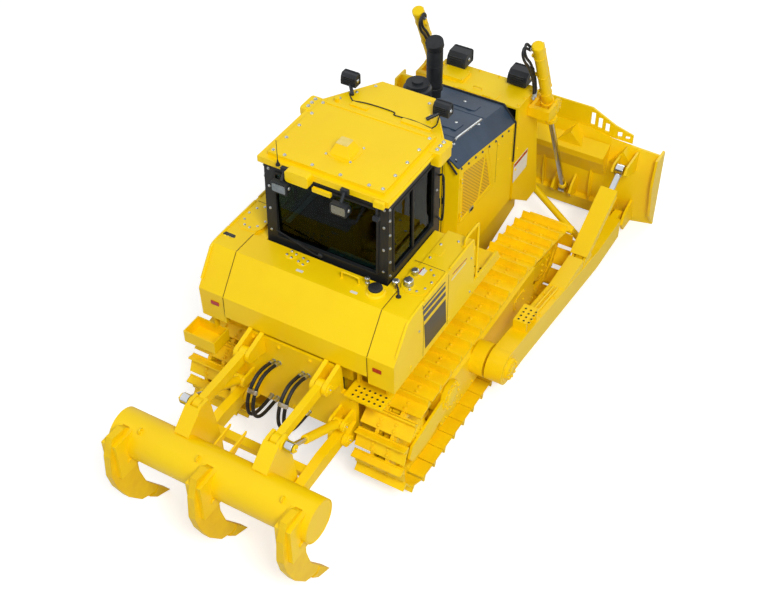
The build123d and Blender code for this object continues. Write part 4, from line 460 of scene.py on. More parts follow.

# %% [markdown]
# A zinc-plated clamp holds each pair of hoses a third of the way down, and each end has a crimped steel
# ferrule with its nut. They follow points read from the hoses' own curves.

# %% Hose clamps and ferrules
def way_frame(way, share):
    """The point at a share of a way's length, and the direction there."""
    spot = min(int(share * (len(way) - 1)), len(way) - 2)
    return way[spot], (way[spot + 1] - way[spot]).normalized()


pieces_on = {}
for node, way in hose_ways.items():
    for point, direction in ((way[0], (way[1] - way[0]).normalized()),
            (way[-1], (way[-2] - way[-1]).normalized())):
        across = direction.orthogonal()
        turned(seat(point, across, direction.cross(across)),
            [(0.021, 0.0), (0.021, 0.016), (0.024, 0.018), (0.024, 0.06), (0.0205, 0.072)], 16)
    pieces_on[node] = [settle(node + "_ferrules", [zinc], 0.001)]
for first, second in (("hose_left_outer", "hose_left_inner"), ("hose_right_inner", "hose_right_outer")):
    here, direction = way_frame(hose_ways[first], 0.34)
    there = way_frame(hose_ways[second], 0.34)[0]
    middle, across = (here + there) / 2, (there - here).normalized()
    pressed(seat(middle - direction * 0.022, across, direction.cross(across)),
        (there - here).length + 0.052, 0.05, 0.024, 0.044, steps=6)
    bolt(seat(middle + direction.cross(across) * 0.025, across, direction), 0.022)
    pieces_on[first].append(settle(first + "_clamp", [zinc], 0.001))
for node, hose in hose_pieces.items():
    way = hose_ways[node]

# %% [markdown]
# Each shoe is bolted to its link with four bolts, and pin ends and link plates show beside the rollers. The
# chain's path is worked out again from the circles that it runs round, so that every bolt sits on its own
# shoe.

# %% Chain path
SHOES = 40
TRACK_Y = 1.0
CHAIN_CIRCLES = [(-1.395, 0.594, 0.434), (1.72, 0.5, 0.34), (0.7, 0.908, 0.132), (-0.35, 0.916, 0.132)]


def chain_pins():
    """The middles of the chain's pins in side view, anticlockwise from the foot of the sprocket."""
    stretches, headings = [], []
    for here, there in zip(CHAIN_CIRCLES, CHAIN_CIRCLES[1:] + CHAIN_CIRCLES[:1]):
        run_x, run_z = there[0] - here[0], there[1] - here[1]
        headings.append(math.atan2(run_z, run_x) - math.asin((there[2] - here[2]) / math.hypot(run_x,
            run_z)))
    for index, heading in enumerate(headings):
        here, there = CHAIN_CIRCLES[index], CHAIN_CIRCLES[(index + 1) % 4]
        out = Vector((math.sin(heading), -math.cos(heading)))
        start, end = Vector(here[:2]) + here[2] * out, Vector(there[:2]) + there[2] * out
        stretches.append(((end - start).length, start, heading, 0))
        turn = (headings[(index + 1) % 4] - heading) % (2 * math.pi)
        stretches.append((turn * there[2], Vector(there[:2]), heading, there[2]))
    whole = sum(stretch[0] for stretch in stretches)
    pins = []
    for number in range(SHOES):
        distance = (number + 0.5) * whole / SHOES
        for length, place, heading, radius in stretches:
            if distance <= length:
                break
            distance -= length
        angle = heading + (distance / radius if radius else 0)
        if radius:
            pins.append(place + radius * Vector((math.sin(angle), -math.cos(angle))))
        else:
            pins.append(place + distance * Vector((math.cos(angle), math.sin(angle))))
    return pins


pins = chain_pins()
print("pitch", round((pins[1] - pins[0]).length * 1000, 1), "mm")

# %% Shoe bolts, pin ends and links
for side, label in SIDES:
    for pin, following in zip(pins, pins[1:] + pins[:1]):
        run = following - pin
        way = Vector((run.x, 0, run.y)).normalized()
        out = Vector((way.z, 0, -way.x))
        for share in (0.5, 0.8):
            for off in (-0.085, 0.085):
                spot = Vector((pin.x + share * run.x, side * (TRACK_Y + off),
                    pin.y + share * run.y)) + out * 0.088
                bolt(seat(spot, way, out.cross(way)), 0.034)
    settle("shoe_bolts_" + label, [shoe_enamel])
    for number, (pin, following) in enumerate(zip(pins, pins[1:] + pins[:1])):
        for rail, out in ((0.105, 1), (0.065, -1), (-0.065, 1), (-0.105, -1)):
            face = side * TRACK_Y + rail
            cap(on(SIDE[out], pin.x, face, pin.y), 0.03, 0.012, 0.024, 0.016, 12)
            if abs(rail) > 0.1:
                slabbed(face, face + out * (0.006 + 0.003 * (number % 2)), strap(pin, following, 0.04))
    settle("chain_links_" + label, [shoe_enamel])
print("chain pieces", triangles)

# %% [markdown]
# The hood's cover is folded sheet with a silver grab bar, two small hatches with their hinges and latches,
# and a rubber strip where it meets the radiator guard. The hatches are thin lids that lie in the plane of
# the cover, so one function gives the cover's height from the place along it.

# %% Hood cover
SHOULDER_DROP = 0.186
HOOD_SECTIONS = ((0.465, 2.616), (0.77, 2.58), (1.84, 2.35))


def hood_top(x):
    """Height of the middle of the hood's cover."""
    for (x0, z0), (x1, z1) in zip(HOOD_SECTIONS, HOOD_SECTIONS[1:]):
        if x <= x1:
            break
    return z0 + (z1 - z0) * (x - x0) / (x1 - x0)


def on_hood(x, y, lift=0.0):
    """A frame on the hood's cover with its x along the hood and z out of it."""
    slope = (hood_top(x + 0.01) - hood_top(x - 0.01)) / 0.02
    return seat((x, y, hood_top(x) + lift), (1, 0, slope), (0, 1, 0))


for hatch_x, hatch_y, length, width in ((1.565, -0.04, 0.17, 0.38), (1.025, -0.21, 0.19, 0.16)):
    pressed(on_hood(hatch_x, hatch_y), length, width, 0.02, 0.008)
    hinge_x, hinge_z = hatch_x - 0.5 * length - 0.004, hood_top(hatch_x - 0.5 * length) + 0.008
    for end in (-1, 1):
        hinge_y = hatch_y + end * width / 3
        rod((hinge_x, hinge_y - 0.03, hinge_z), (hinge_x, hinge_y + 0.03, hinge_z), 0.008, 10)
    cap(on_hood(hatch_x + 0.36 * length, hatch_y, 0.008), 0.018, 0.004, 0.008, 0.007, 18, 1)
for seam_x in (0.78, 1.4):
    pressed(on_hood(seam_x, 0), 0.012, 0.78, 0.005, 0.004)
settle("hood_hatches", [cover_paint, zinc], 0.0015)

# folded edge of the cover over each side, with its row of bolts
for side in (-1, 1):
    for x in [0.56 + 0.16 * n for n in range(8)]:
        shoulder = hood_top(x) - SHOULDER_DROP
        bolt(beside(side, x, 0.5555, shoulder - 0.018 - 0.02 * (x > 0.7)), 0.022)
settle("hood_cover_bolts", [cover_paint])

line([(0.655, -0.4, 2.605), (0.655, -0.425, 2.65), (0.68, -0.432, 2.668), (0.9, -0.432, 2.622),
    (1.2, -0.432, 2.558), (1.225, -0.425, 2.54), (1.225, -0.4, 2.49)], 0.012, 12)
for foot_x in (0.655, 1.225):
    cap(seat((foot_x, -0.4, hood_top(foot_x) - 0.002), (1, 0, -0.2), (0, 1, 0)), 0.024, 0.006, 0.015, 0.01,
        16)
settle("hood_grab_bar", [zinc])

# weather strip between cover and guard: over the top and down both cut corners
strip_z = hood_top(1.83)
for near, far in (((-0.405, 0.0), (0.405, 0.0)), ((-0.405, 0.0), (-0.56, -SHOULDER_DROP)),
        ((0.405, 0.0), (0.56, -SHOULDER_DROP))):
    rod((1.848, near[0], strip_z + near[1] + 0.002), (1.848, far[0], strip_z + far[1] + 0.002), 0.013, 12)
for side in (-1, 1):
    rod((1.848, side * 0.56, strip_z - SHOULDER_DROP), (1.848, side * 0.56, 1.64), 0.011, 10)
    # seal against the cab
    rod((0.452, side * 0.4, 2.6), (0.452, side * 0.56, 2.4), 0.012, 10)
rod((0.452, -0.4, 2.6), (0.452, 0.4, 2.6), 0.012, 10)
settle("hood_seals", [rubber])

# over-centre latch at the rear corner of the cover
latch = seat((0.52, -0.47, 2.48), (0.6, -0.3, -0.1), (0.1, 0.3, 1.0))
pressed(latch, 0.1, 0.05, 0.01, 0.012)
pressed(latch @ by(0.012, 0.0, 0.012), 0.06, 0.022, 0.008, 0.014, 1)
settle("hood_latch", [zinc, rubber], 0.001)
print("hood pieces", triangles["hood_hatches"], triangles["hood_cover_bolts"])

# %% [markdown]
# Two bands go round the exhaust stack, the lower one with its bolt. The precleaner is a moulded bowl with a
# stepped lid, a ring of air slots and a band below them.

# %% Stack and precleaner
STACK = (1.55, 0.3)
PRECLEANER = (1.19, 0.31)
turned(on(TOP, *STACK, 2.5), [(0.091, 0), (0.094, 0.004), (0.094, 0.036), (0.091, 0.04)], 36)
turned(on(TOP, *STACK, 2.8), [(0.0885, 0), (0.09, 0.003), (0.09, 0.017), (0.0885, 0.02)], 36)
bolt(leaning(0, STACK[0] - 0.093, STACK[1], 2.52), 0.028)
settle("stack_clamps", [stack_paint], 0.001)
turned(on(TOP, *PRECLEANER, 2.716), [(0.15, 0), (0.153, 0.004), (0.15, 0.016), (0.128, 0.028),
    (0.06, 0.036), (0.02, 0.038)], 40)
for x, y in around(24, 1.0):
    out = Vector((x, y, 0))
    pressed(seat(Vector((*PRECLEANER, 2.662)) + out * 0.148, Vector((0, 0, 1)).cross(out), (0, 0, 1)),
        0.018, 0.056, 0.004, 0.008, steps=2)
turned(on(TOP, *PRECLEANER, 2.612), [(0.152, 0), (0.155, 0.003), (0.155, 0.013), (0.151, 0.016)], 40)
settle("precleaner_lid", [abs_black], 0.0008)

# %% [markdown]
# The radiator guard is a welded box. Bolt heads run along its top edges, a hinged hatch covers the radiator
# cap, and a blank white plate with a red band is fixed to its side. A sign like this has its rule's colours
# but no words.

# %% Radiator guard
GUARD_TOP = 2.35
for side in (-1, 1):
    for x in (1.92, 2.08, 2.24):
        bolt(on(TOP, x, side * 0.545, GUARD_TOP), 0.026)
    for z in (1.5, 1.8, 2.1):
        bolt(beside(side, 1.892, 0.575, z), 0.026)
for y in (-0.36, -0.12, 0.12, 0.36):
    bolt(on(TOP, 2.312, y, GUARD_TOP), 0.026)
# hatch over the radiator cap, with its hinge and pull
pressed(on(TOP, 1.94, -0.02, GUARD_TOP), 0.115, 0.54, 0.012, 0.007)
rod((1.889, -0.22, 2.358), (1.889, -0.12, 2.358), 0.009, 10)
rod((1.889, 0.08, 2.358), (1.889, 0.18, 2.358), 0.009, 10)
line([(1.975, -0.07, 2.355), (1.975, -0.07, 2.38), (1.975, 0.03, 2.38), (1.975, 0.03, 2.355)], 0.006, 8, 0,
    0)
# raised box for the wiring of the front lamps
pressed(on(TOP, 2.1, 0.33, GUARD_TOP), 0.2, 0.3, 0.015, 0.035)
for x, y in ((2.02, 0.2), (2.18, 0.2), (2.02, 0.46), (2.18, 0.46)):
    bolt(on(TOP, x, y, 2.385), 0.018)
settle("guard_top_pieces", [enamel], 0.002)

sign = on(RIGHT, 2.03, -0.5755, 1.47)
plate(sign, [(-0.18, -0.135), (0.18, -0.135), (0.18, 0.13), (-0.18, 0.13)], 0.0025)
plate(sign @ by(0, 0, 0.0025), [(-0.172, 0.078), (0.172, 0.078), (0.172, 0.122), (-0.172, 0.122)], 0.0006,
    1)
for x, z in ((-0.168, -0.122), (0.168, -0.122)):
    bolt(sign @ by(x, z, 0.0025), 0.012, 2)
settle("guard_blank_plate", [white_film, red_lens, zinc])

# %% [markdown]
# A lamp is a moulded housing with a bezel and a clear lens on its front, cooling ribs behind and a round
# pivot on either side. Each row gives a housing's middle, the way it looks and its size. The lens gets a
# bright reflector close behind it.

# %% Lamps
LAMPS = {"lamp_front_left": (2.3, 0.378, 2.46, 1, 0.2, 0.23, 0.15),
    "lamp_front_right": (2.3, -0.378, 2.46, 1, 0.2, 0.23, 0.15),
    "lamp_roof_left": (0.19, 0.513, 3.35, 1, 0.09, 0.17, 0.12),
    "lamp_roof_right": (0.19, -0.513, 3.35, 1, 0.09, 0.17, 0.12),
    "lamp_rear_left": (-1.26, 0.38, 3.07, -1, 0.09, 0.165, 0.11),
    "lamp_rear_right": (-1.26, -0.26, 3.07, -1, 0.09, 0.165, 0.11)}
for name, (x, y, z, look, along_size, across_size, up_size) in LAMPS.items():
    face = seat((x + look * along_size / 2, y, z), (0, look, 0), (0, 0, 1))
    pressed(face @ by(0, 0, -0.014), across_size + 0.012, up_size + 0.012, 0.022, 0.016)
    pressed(face @ by(0, 0, 0.002), across_size - 0.022, up_size - 0.022, 0.016, 0.003, 1)
    pressed(face @ by(0, 0, 0.0055), across_size - 0.02, up_size - 0.02, 0.016, 0.004, 2)
    # cooling ribs on the back
    for n in range(5):
        rib_z = z + up_size * (n - 2) / 6
        pressed(seat((x - look * along_size / 2, y, rib_z), (0, -look, 0), (0, 0, 1)), across_size * 0.72,
            0.008, 0.003, 0.01, steps=2)
    for end in (-1, 1):
        cap(on(SIDE[end], x, y + end * across_size / 2, z), 0.02, 0.005, 0.012, 0.012, 14, 3)
    settle(name, [abs_black, zinc, lens_clear, zinc], 0.0015)

# tank-top lamp at the left rear, on its own bracket
fender_lamp = leaning(0.25, -1.345, 1.02, 2.2)
pressed(fender_lamp @ by(0, 0, -0.075), 0.165, 0.125, 0.024, 0.075)
pressed(fender_lamp, 0.15, 0.11, 0.02, 0.004, 1)
pressed(fender_lamp @ by(0, 0, 0.004), 0.152, 0.112, 0.02, 0.004, 2)
line([(-1.3, 1.02, 2.14), (-1.32, 1.02, 2.09), (-1.335, 1.02, 2.06)], 0.011, 10, 3)
settle("lamp_fender_left", [abs_black, zinc, lens_clear, enamel], 0.0015)
print("lamps", triangles["lamp_front_left"])

# %% [markdown]
# The cab is a frame of pressed black pillars with glass bedded in rubber. A flat ring of rubber lies round
# every pane. The same ring, made from an outer and an inner outline with equal points, serves windows of
# every size.

# %% Rubber round the cab's glass
CAB_HALF = 0.675
DOOR_THICKNESS = 0.0405
PILLAR_X = -0.14
DOOR_ALONG = Vector((0.797, -0.605, 0))
REAR_LEAN, FLOOR_Z = 0.043, 1.65
RIM_RADIUS, RIM_LEAST_RADIUS = 0.04, 0.006


def cab_rear(z):
    """The rear wall leans a little forward as it rises."""
    return -1.17 + REAR_LEAN * (z - FLOOR_Z)


def rim(place, width, height, band, thickness):
    """A flat ring between two rounded rectangles."""
    outer = rounded(width, height, RIM_RADIUS)
    inner = rounded(width - 2 * band, height - 2 * band, max(RIM_RADIUS - band, RIM_LEAST_RADIUS))
    levels = ((outer, 0), (outer, thickness), (inner, thickness), (inner, 0))
    joined([[bench.verts.new(place @ Vector((x, y, z))) for x, y in outline] for outline, z in levels],
        capped=False, looped=True)


def door_place(side, distance, z):
    """A frame on the outer face of a cab door: distance along it from the pillar, and height."""
    along = Vector((DOOR_ALONG.x, side * DOOR_ALONG.y, 0))
    face = along.cross(Vector((0, 0, 1))) * (-side)
    origin = Vector((PILLAR_X, side * CAB_HALF, z)) + along * distance + face * DOOR_THICKNESS
    return seat(origin, along * (-side), (0, 0, 1))


rim(leaning(REAR_LEAN, cab_rear(2.6825) - 0.003, 0, 2.6825), 1.15, 0.79, 0.026, 0.007)
rim(on(FRONT, 0.423, 0, 2.88), 0.42, 0.4, 0.022, 0.006)
for side in (-1, 1):
    rim(beside(side, -0.65, CAB_HALF + 0.001, 2.6825), 0.8, 0.79, 0.024, 0.006)
    # divider of the sliding side window
    pressed(beside(side, -0.65, CAB_HALF - 0.02, 2.6825), 0.03, 0.745, 0.006, 0.016)
settle("cab_window_seals", [rubber], 0.001)
for side, label in SIDES:
    rim(door_place(side, 0.3515, 2.3975), 0.485, 1.265, 0.018, 0.005)
    settle("cab_door_seal_" + label, [rubber], 0.001, body=label + "_cab_door")
    # handle: a cupped plate with a pull and a lock barrel
    grip = door_place(side, 0.6, 2.06)
    pressed(grip, 0.044, 0.17, 0.018, 0.008)
    line([grip @ Vector(p) for p in ((0, -0.06, 0.004), (0, -0.055, 0.034), (0, 0.04, 0.036),
        (0, 0.055, 0.004))], 0.008, 10, 1)
    cap(grip @ by(0, -0.072, 0.008), 0.011, 0.004, 0.006, 0.006, 14, 1)
    for z in (1.85, 2.45, 2.95):
        hinge = door_place(side, 0.1, z)
        pressed(hinge, 0.06, 0.07, 0.01, 0.006)
        for up in (-0.02, 0.02):
            bolt(hinge @ by(0, up, 0.006), 0.016, 1)
    settle("cab_door_fittings_" + label, [frame_paint, zinc], 0.001, body=label + "_cab_door")
print("seals", triangles["cab_window_seals"])

# %% [markdown]
# Wipers sweep the rear window and both doors. A wiper is a motor's cap, a bent arm and a thin rubber blade
# that lies on the glass. The bolts in the cab's posts show as a row of bright heads.

# %% Wipers and post bolts
wiper = leaning(REAR_LEAN, cab_rear(2.27) - 0.012, 0.06, 2.275)
turned(wiper, [(0.03, -0.01), (0.03, 0.012), (0.018, 0.022)], 18)
line([wiper @ Vector(p) for p in ((0, 0, 0.018), (-0.1, 0.02, 0.024), (-0.36, 0.09, 0.016))], 0.007, 8, 0,
    4)
line([wiper @ Vector(p) for p in ((-0.12, 0.045, 0.012), (-0.3, 0.075, 0.01), (-0.5, 0.12, 0.012))], 0.006,
    6, 1, 3)
settle("rear_wiper", [frame_paint, rubber])
for side, label in SIDES:
    pivot = door_place(side, 0.35, 1.815)
    cap(pivot, 0.024, 0.012, 0.014, 0.02, 16)
    line([pivot @ Vector(p) for p in ((0, 0, 0.016), (0.03, 0.12, 0.024), (0.06, 0.34, 0.006))], 0.006, 8,
        0, 4)
    line([pivot @ Vector(p) for p in ((0.05, 0.14, 0.002), (0.062, 0.36, 0.0), (0.07, 0.6, 0.001))], 0.005,
        6, 1, 3)
    settle("door_wiper_" + label, [frame_paint, rubber], body=label + "_cab_door")

for side in (-1, 1):
    for z in (2.3, 2.47, 2.64, 2.8, 2.97, 3.1):
        bolt(beside(side, -1.1, CAB_HALF, z), 0.024)
    for z in (1.8, 2.1, 2.7, 3.0):
        bolt(beside(side, -0.2, CAB_HALF, z), 0.022)
    for z in (2.36, 2.62, 2.88, 3.08):
        bolt(leaning(REAR_LEAN, cab_rear(z) - 0.001, side * 0.625, z), 0.022)
settle("cab_post_bolts", [zinc])
for side in (-1, 1):
    line(flip(side, [(-0.18, 0.68, 2.35), (-0.18, 0.735, 2.37), (-0.18, 0.735, 2.85), (-0.18, 0.68, 2.87)]),
        0.011, 10)
settle("cab_grab_rails", [frame_paint])

# %% [markdown]
# The seat is three pads on a sprung base. A pad is a closed crowned form: thick in its middle, thinner to
# its edges, with sides that pull in between its corners. It starts as a fine box whose points are moved by
# one rule, and sewn channels are pressed into its face as narrow grooves, with a piped seam round its rim.

# %% Operator's seat
PAD_STEPS = 36


def pad(name, place, width, length, height, crown, channels):
    """A crowned cushion, its face in the local xy plane, with grooves across it at the given places along."""
    def surface(u, v, level):
        """The point at two shares across the pad, -1 to 1, and a level from its back to its face."""
        pull = 1 - 0.045 * (1 - min(abs(u), abs(v)) ** 2)
        edge_u, edge_v = 1 - abs(u) ** 8, 1 - abs(v) ** 8
        round_off = (1 - 0.06 * abs(level) ** 3)
        lift = crown * (1 - u * u) * (1 - v * v) + 0.16 * height * (edge_u * edge_v) ** 0.5
        x, y = 0.5 * width * u * pull * round_off, 0.5 * length * v * pull * round_off
        z = level * (0.34 * height + lift * 0.5)
        if level > 0.9:
            for channel in channels:
                z -= 0.01 * math.exp(-((y - channel) / 0.006) ** 2) * edge_u
            z -= 0.007 * math.exp(-((abs(x) - 0.34 * width) / 0.006) ** 2) * edge_v
        return place @ Vector((x, y, z))

    def spot(i, j, level):
        """The surface's point at whole steps along both sides."""
        return surface(2 * i / PAD_STEPS - 1, 2 * j / PAD_STEPS - 1, level)

    every, steps = range(PAD_STEPS + 1), range(PAD_STEPS)
    top, low = [[[bench.verts.new(spot(i, j, level)) for j in every] for i in every] for level in (1, -1)]
    for grid in (top, low):
        for i in steps:
            for j in steps:
                bench.faces.new((grid[i][j], grid[i + 1][j], grid[i + 1][j + 1], grid[i][j + 1]))
    walk = [(i, 0) for i in steps] + [(PAD_STEPS, j) for j in steps]
    walk += [(PAD_STEPS - i, PAD_STEPS - j) for i, j in walk]
    middle = place.translation
    rings = [[low[i][j] for i, j in walk]]
    for level in (-0.8, -0.4, 0, 0.4, 0.8):
        swell = 1 + 0.05 * (1 - level * level)
        rings.append([bench.verts.new(middle + (spot(i, j, level) - middle) * swell) for i, j in walk])
    rings.append([top[i][j] for i, j in walk])
    joined(rings, 0, False)
    seam = [spot(i, j, 0.8) for i, j in walk]
    piece = settle(name, [seat_cloth])
    piece.modifiers.new("smooth", "SUBSURF").levels = 1
    line([middle + (point - middle) * 1.022 for point in seam + seam[:1]], 0.0035, 6, 0, 0)
    settle(name + "_piping", [rubber])
    return piece


SEAT_X = -0.64
lower = pad("seat_cushion", on(TOP, SEAT_X + 0.01, 0, FLOOR_Z + 0.345), 0.5, 0.5, 0.13, 0.03,
    (-0.13, 0.0, 0.13))
back_seat = leaning(-0.16, SEAT_X - 0.235, 0, FLOOR_Z + 0.735) @ ABOUT
upper = pad("seat_back_cushion", back_seat, 0.46, 0.56, 0.115, 0.026, (-0.16, 0.0, 0.16))
head_seat = leaning(-0.16, SEAT_X - 0.3, 0, FLOOR_Z + 1.045) @ ABOUT
headrest = pad("seat_headrest", head_seat, 0.27, 0.13, 0.085, 0.014, ())
# sprung base: a plinth, the rubber bellows round the scissors, and the pan
pressed(on(TOP, SEAT_X, 0, FLOOR_Z + 0.001), 0.36, 0.34, 0.03, 0.06)
for n in range(5):
    pressed(on(TOP, SEAT_X, 0, FLOOR_Z + 0.062 + 0.038 * n), 0.33, 0.31, 0.04, 0.018, 1)
    pressed(on(TOP, SEAT_X, 0, FLOOR_Z + 0.08 + 0.038 * n), 0.3, 0.28, 0.04, 0.02, 1)
pressed(on(TOP, SEAT_X + 0.01, 0, FLOOR_Z + 0.252), 0.46, 0.46, 0.05, 0.036)
pressed(seat((SEAT_X - 0.3, 0, FLOOR_Z + 0.7), (0, 1, 0), (-0.16, 0, 1)) @ ABOUT, 0.4, 0.52, 0.06, 0.022)
for side in (-1, 1):
    rod((SEAT_X - 0.285, side * 0.07, FLOOR_Z + 0.96), (SEAT_X - 0.3, side * 0.07, FLOOR_Z + 1.04), 0.006,
        8)
    # armrests on their brackets
    pressed(on(TOP, SEAT_X - 0.02, side * 0.29, FLOOR_Z + 0.56), 0.3, 0.07, 0.03, 0.045)
    line(flip(side, [(SEAT_X - 0.24, 0.24, FLOOR_Z + 0.56), (SEAT_X - 0.16, 0.28, FLOOR_Z + 0.57)]), 0.014,
        8, 0, 0)
base = settle("seat_base", [abs_black, rubber], 0.003)
for piece in (lower, upper, headrest, base):
    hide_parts("operator_seat")
# lap belt: a strap over the right side of the pad, with its buckle
line([(SEAT_X - 0.18, -0.268, FLOOR_Z + 0.3), (SEAT_X - 0.12, -0.262, FLOOR_Z + 0.42),
    (SEAT_X + 0.02, -0.23, FLOOR_Z + 0.455)], 0.014, 8, 0, 6)
pressed(on(TOP, SEAT_X + 0.06, -0.215, FLOOR_Z + 0.452), 0.09, 0.052, 0.01, 0.018, 1)
settle("seat_belt", [red_webbing, abs_black], 0.001)
print("seat pads", triangles["seat_cushion"])

# %% Trim sills below the cab's windows
pressed(on(TOP, -1.05, -0.235, 2.262), 0.115, 0.56, 0.02, 0.016)
for side in (-1, 1):
    pressed(on(TOP, -0.64, side * 0.594, 2.292), 0.56, 0.055, 0.02, 0.012)
settle("cab_trim_sills", [trim_grey], 0.001)

# %% Controls inside the cab
for side in (-1, 1):
    lever = on(TOP, -0.42, side * 0.44, FLOOR_Z + 0.64)
    turned(lever, [(0.05, 0), (0.046, 0.016), (0.05, 0.02), (0.04, 0.036), (0.044, 0.04), (0.032, 0.056),
        (0.036, 0.06), (0.022, 0.074)], 18, 1)
    turned(lever @ by(0, 0, 0.13), [(0.019, 0), (0.024, 0.02), (0.022, 0.06), (0.028, 0.09), (0.026, 0.112),
        (0.012, 0.122)], 18)
    pressed(on(TOP, -0.6, side * 0.45, FLOOR_Z + 0.64), 0.42, 0.19, 0.03, 0.012)
    for n in range(4):
        pressed(on(TOP, -0.72 + 0.06 * n, side * 0.45, FLOOR_Z + 0.652), 0.04, 0.026, 0.005, 0.008, 1)
# monitor on the dash, with its dark screen and a row of buttons
screen = leaning(0.25, 0.172, 0.0, FLOOR_Z + 0.89)
pressed(screen @ by(0, 0, -0.03), 0.25, 0.17, 0.018, 0.034)
pressed(screen @ by(0, 0.008, 0.004), 0.21, 0.125, 0.01, 0.003, 2)
for n in range(5):
    pressed(screen @ by(-0.08 + 0.04 * n, -0.07, 0.004), 0.024, 0.012, 0.004, 0.004, 1)
for side in (-1, 1):
    # rubber pedals
    pressed(seat((0.08, side * 0.08, FLOOR_Z + 0.12), (0, 1, 0), (0.6, 0, 1)) @ ABOUT, 0.075, 0.14, 0.012,
        0.016, 1)
settle("cab_controls", [abs_black, rubber, navy_film], 0.0015)
print("controls", triangles["cab_controls"])

# %% [markdown]
# The roof carries gutters, two lift-eye boxes and bright bolts, a thin black cable to the front lamps, the
# lid of its pod, an antenna on its foot, and a small camera under its rear edge.

# %% Roof
ROOF_DECK_Z, FRONT_DECK_Z, LIFT_EYE_Y = 3.275, 3.255, 0.708
for side in (-1, 1):
    # rain gutters along both sides of the roof
    line(flip(side, [(-1.15, 0.702, 3.205), (-0.34, 0.702, 3.205)]), 0.013, 10, 0, 0)
    line(flip(side, [(-0.08, 0.668, 3.205), (0.44, 0.3, 3.205)]), 0.013, 10, 0, 0)
    # lift-eye boxes at the corners over the doors, above the doors' sweep
    pressed(on(TOP, -0.215, side * LIFT_EYE_Y, 3.092), 0.24, 0.136, 0.03, 0.15)
# narrow hatch frame across the front of the upper plate, and two steps before it
pressed(on(TOP, -0.165, 0.0, ROOF_DECK_Z), 0.045, 1.16, 0.01, 0.008)
for y0, y1 in ((0.17, 0.36), (-0.52, -0.2)):
    pressed(on(TOP, -0.05, (y0 + y1) / 2, FRONT_DECK_Z), 0.06, y1 - y0, 0.01, 0.014)
pressed(on(TOP, -0.08, 0.5, FRONT_DECK_Z), 0.05, 0.035, 0.008, 0.04)
# rear shroud behind the left lamp, and the clips under the roof's rear edge
for x, y, z, width, height, radius, thickness in ((-1.165, 0.215, 3.2, 0.25, 0.13, 0.03, 0.09),
        (-1.18, -0.02, 3.11, 0.2, 0.05, 0.01, 0.03), (-1.17, -0.62, 3.2, 0.11, 0.07, 0.012, 0.036)):
    pressed(on(REAR, x, y, z), width, height, radius, thickness)
settle("roof_fittings", [enamel], 0.0025)
pressed(on(TOP, -0.75, 0.0, 3.38), 0.116, 0.126, 0.012, 0.006)
pressed(on(TOP, -0.75, 0.0, ROOF_DECK_Z), 0.29, 0.3, 0.1, 0.006, 1, steps=8)
settle("pod_lid_and_flange", [pale_paint, enamel], 0.001)
for side in (-1, 1):
    bolts(TOP, 0.026, [(x, side * 0.585, ROOF_DECK_Z) for x in (-1.06, -0.84, -0.62, -0.4, -0.2)])
    bolts(TOP, 0.024, [(x, side * y, FRONT_DECK_Z) for x, y in ((-0.03, 0.5), (0.14, 0.41), (0.32, 0.3))])
bolts(TOP, 0.026, [(-1.075, y, ROOF_DECK_Z) for y in (-0.45, -0.15, 0.15, 0.45)])
for side in (-1, 1):
    bolts(TOP, 0.03, [(-0.275 + 0.065 * n, side * LIFT_EYE_Y, 3.242) for n in range(3)])
bolts(TOP, 0.02, [(x, y, ROOF_DECK_Z + 0.0002) for y in (0.13, -0.13) for x in (-0.87, -0.63)])
settle("roof_bright_bolts", [zinc])

line([(-0.02, 0.36, 3.268), (0.02, 0.2, 3.262), (0.02, -0.07, 3.262), (-0.02, -0.11, 3.262),
    (-0.01, -0.3, 3.262), (-0.04, -0.52, 3.268)], 0.006, 8, 0, 10)
for side, x in ((-1, -0.04), (1, -0.02)):
    far = [(0.04, -0.53, 3.262), (0.15, -0.5, 3.275)] if side < 0 else [(0.06, 0.44, 3.262),
        (0.15, 0.48, 3.275)]
    line([(x, -0.52 if side < 0 else 0.36, 3.268), *far, (0.185, side * 0.513, 3.3)], 0.006, 8, 0, 8)
settle("roof_wiring", [rubber])
turned(on(TOP, -1.19, 0.45, 3.235), [(0.022, 0), (0.022, 0.012), (0.01, 0.036), (0.006, 0.06),
    (0.0035, 0.07), (0.0028, 0.27), (0.005, 0.276)], 12)
settle("antenna", [rubber])
# small rear camera box under the roof's right rear corner, on a bent bracket
line([(-1.16, -0.6, 3.17), (-1.2, -0.6, 3.13), (-1.205, -0.6, 3.07)], 0.009, 8, 0, 6)
pressed(leaning(0.3, -1.19, -0.6, 3.045), 0.062, 0.05, 0.01, 0.04)
settle("rear_camera", [abs_black], 0.001)
print("roof", triangles["roof_fittings"], triangles["roof_bright_bolts"])

# %% [markdown]
# Yellow sheet gets its small work now: lids, caps, lips, bars and stripes. Seams between panels are thin
# strips of painted shade, since a gap of five millimetres between two sheets shows as a dark line where
# shade falls into it. Stripes are cut vinyl film, so each is a thin plate with its own outline.

# %% Tank and fender details
TANK_LEAN = Vector((0.284, 0, 0.375)).normalized()
TANK_TOP, FENDER_TOP, FENDER_SIDE = 2.255, 2.25, 1.1
TANK_SEAM_Y = 0.8115


def on_slope(distance, y, lift=0.0):
    """A frame on the tank's leaning back: distance up from its fold, across, and out of it."""
    out = Vector((-TANK_LEAN.z, 0, TANK_LEAN.x))
    return seat(Vector((-1.774, y, 1.88)) + TANK_LEAN * distance + out * lift, (0, -1, 0), TANK_LEAN)
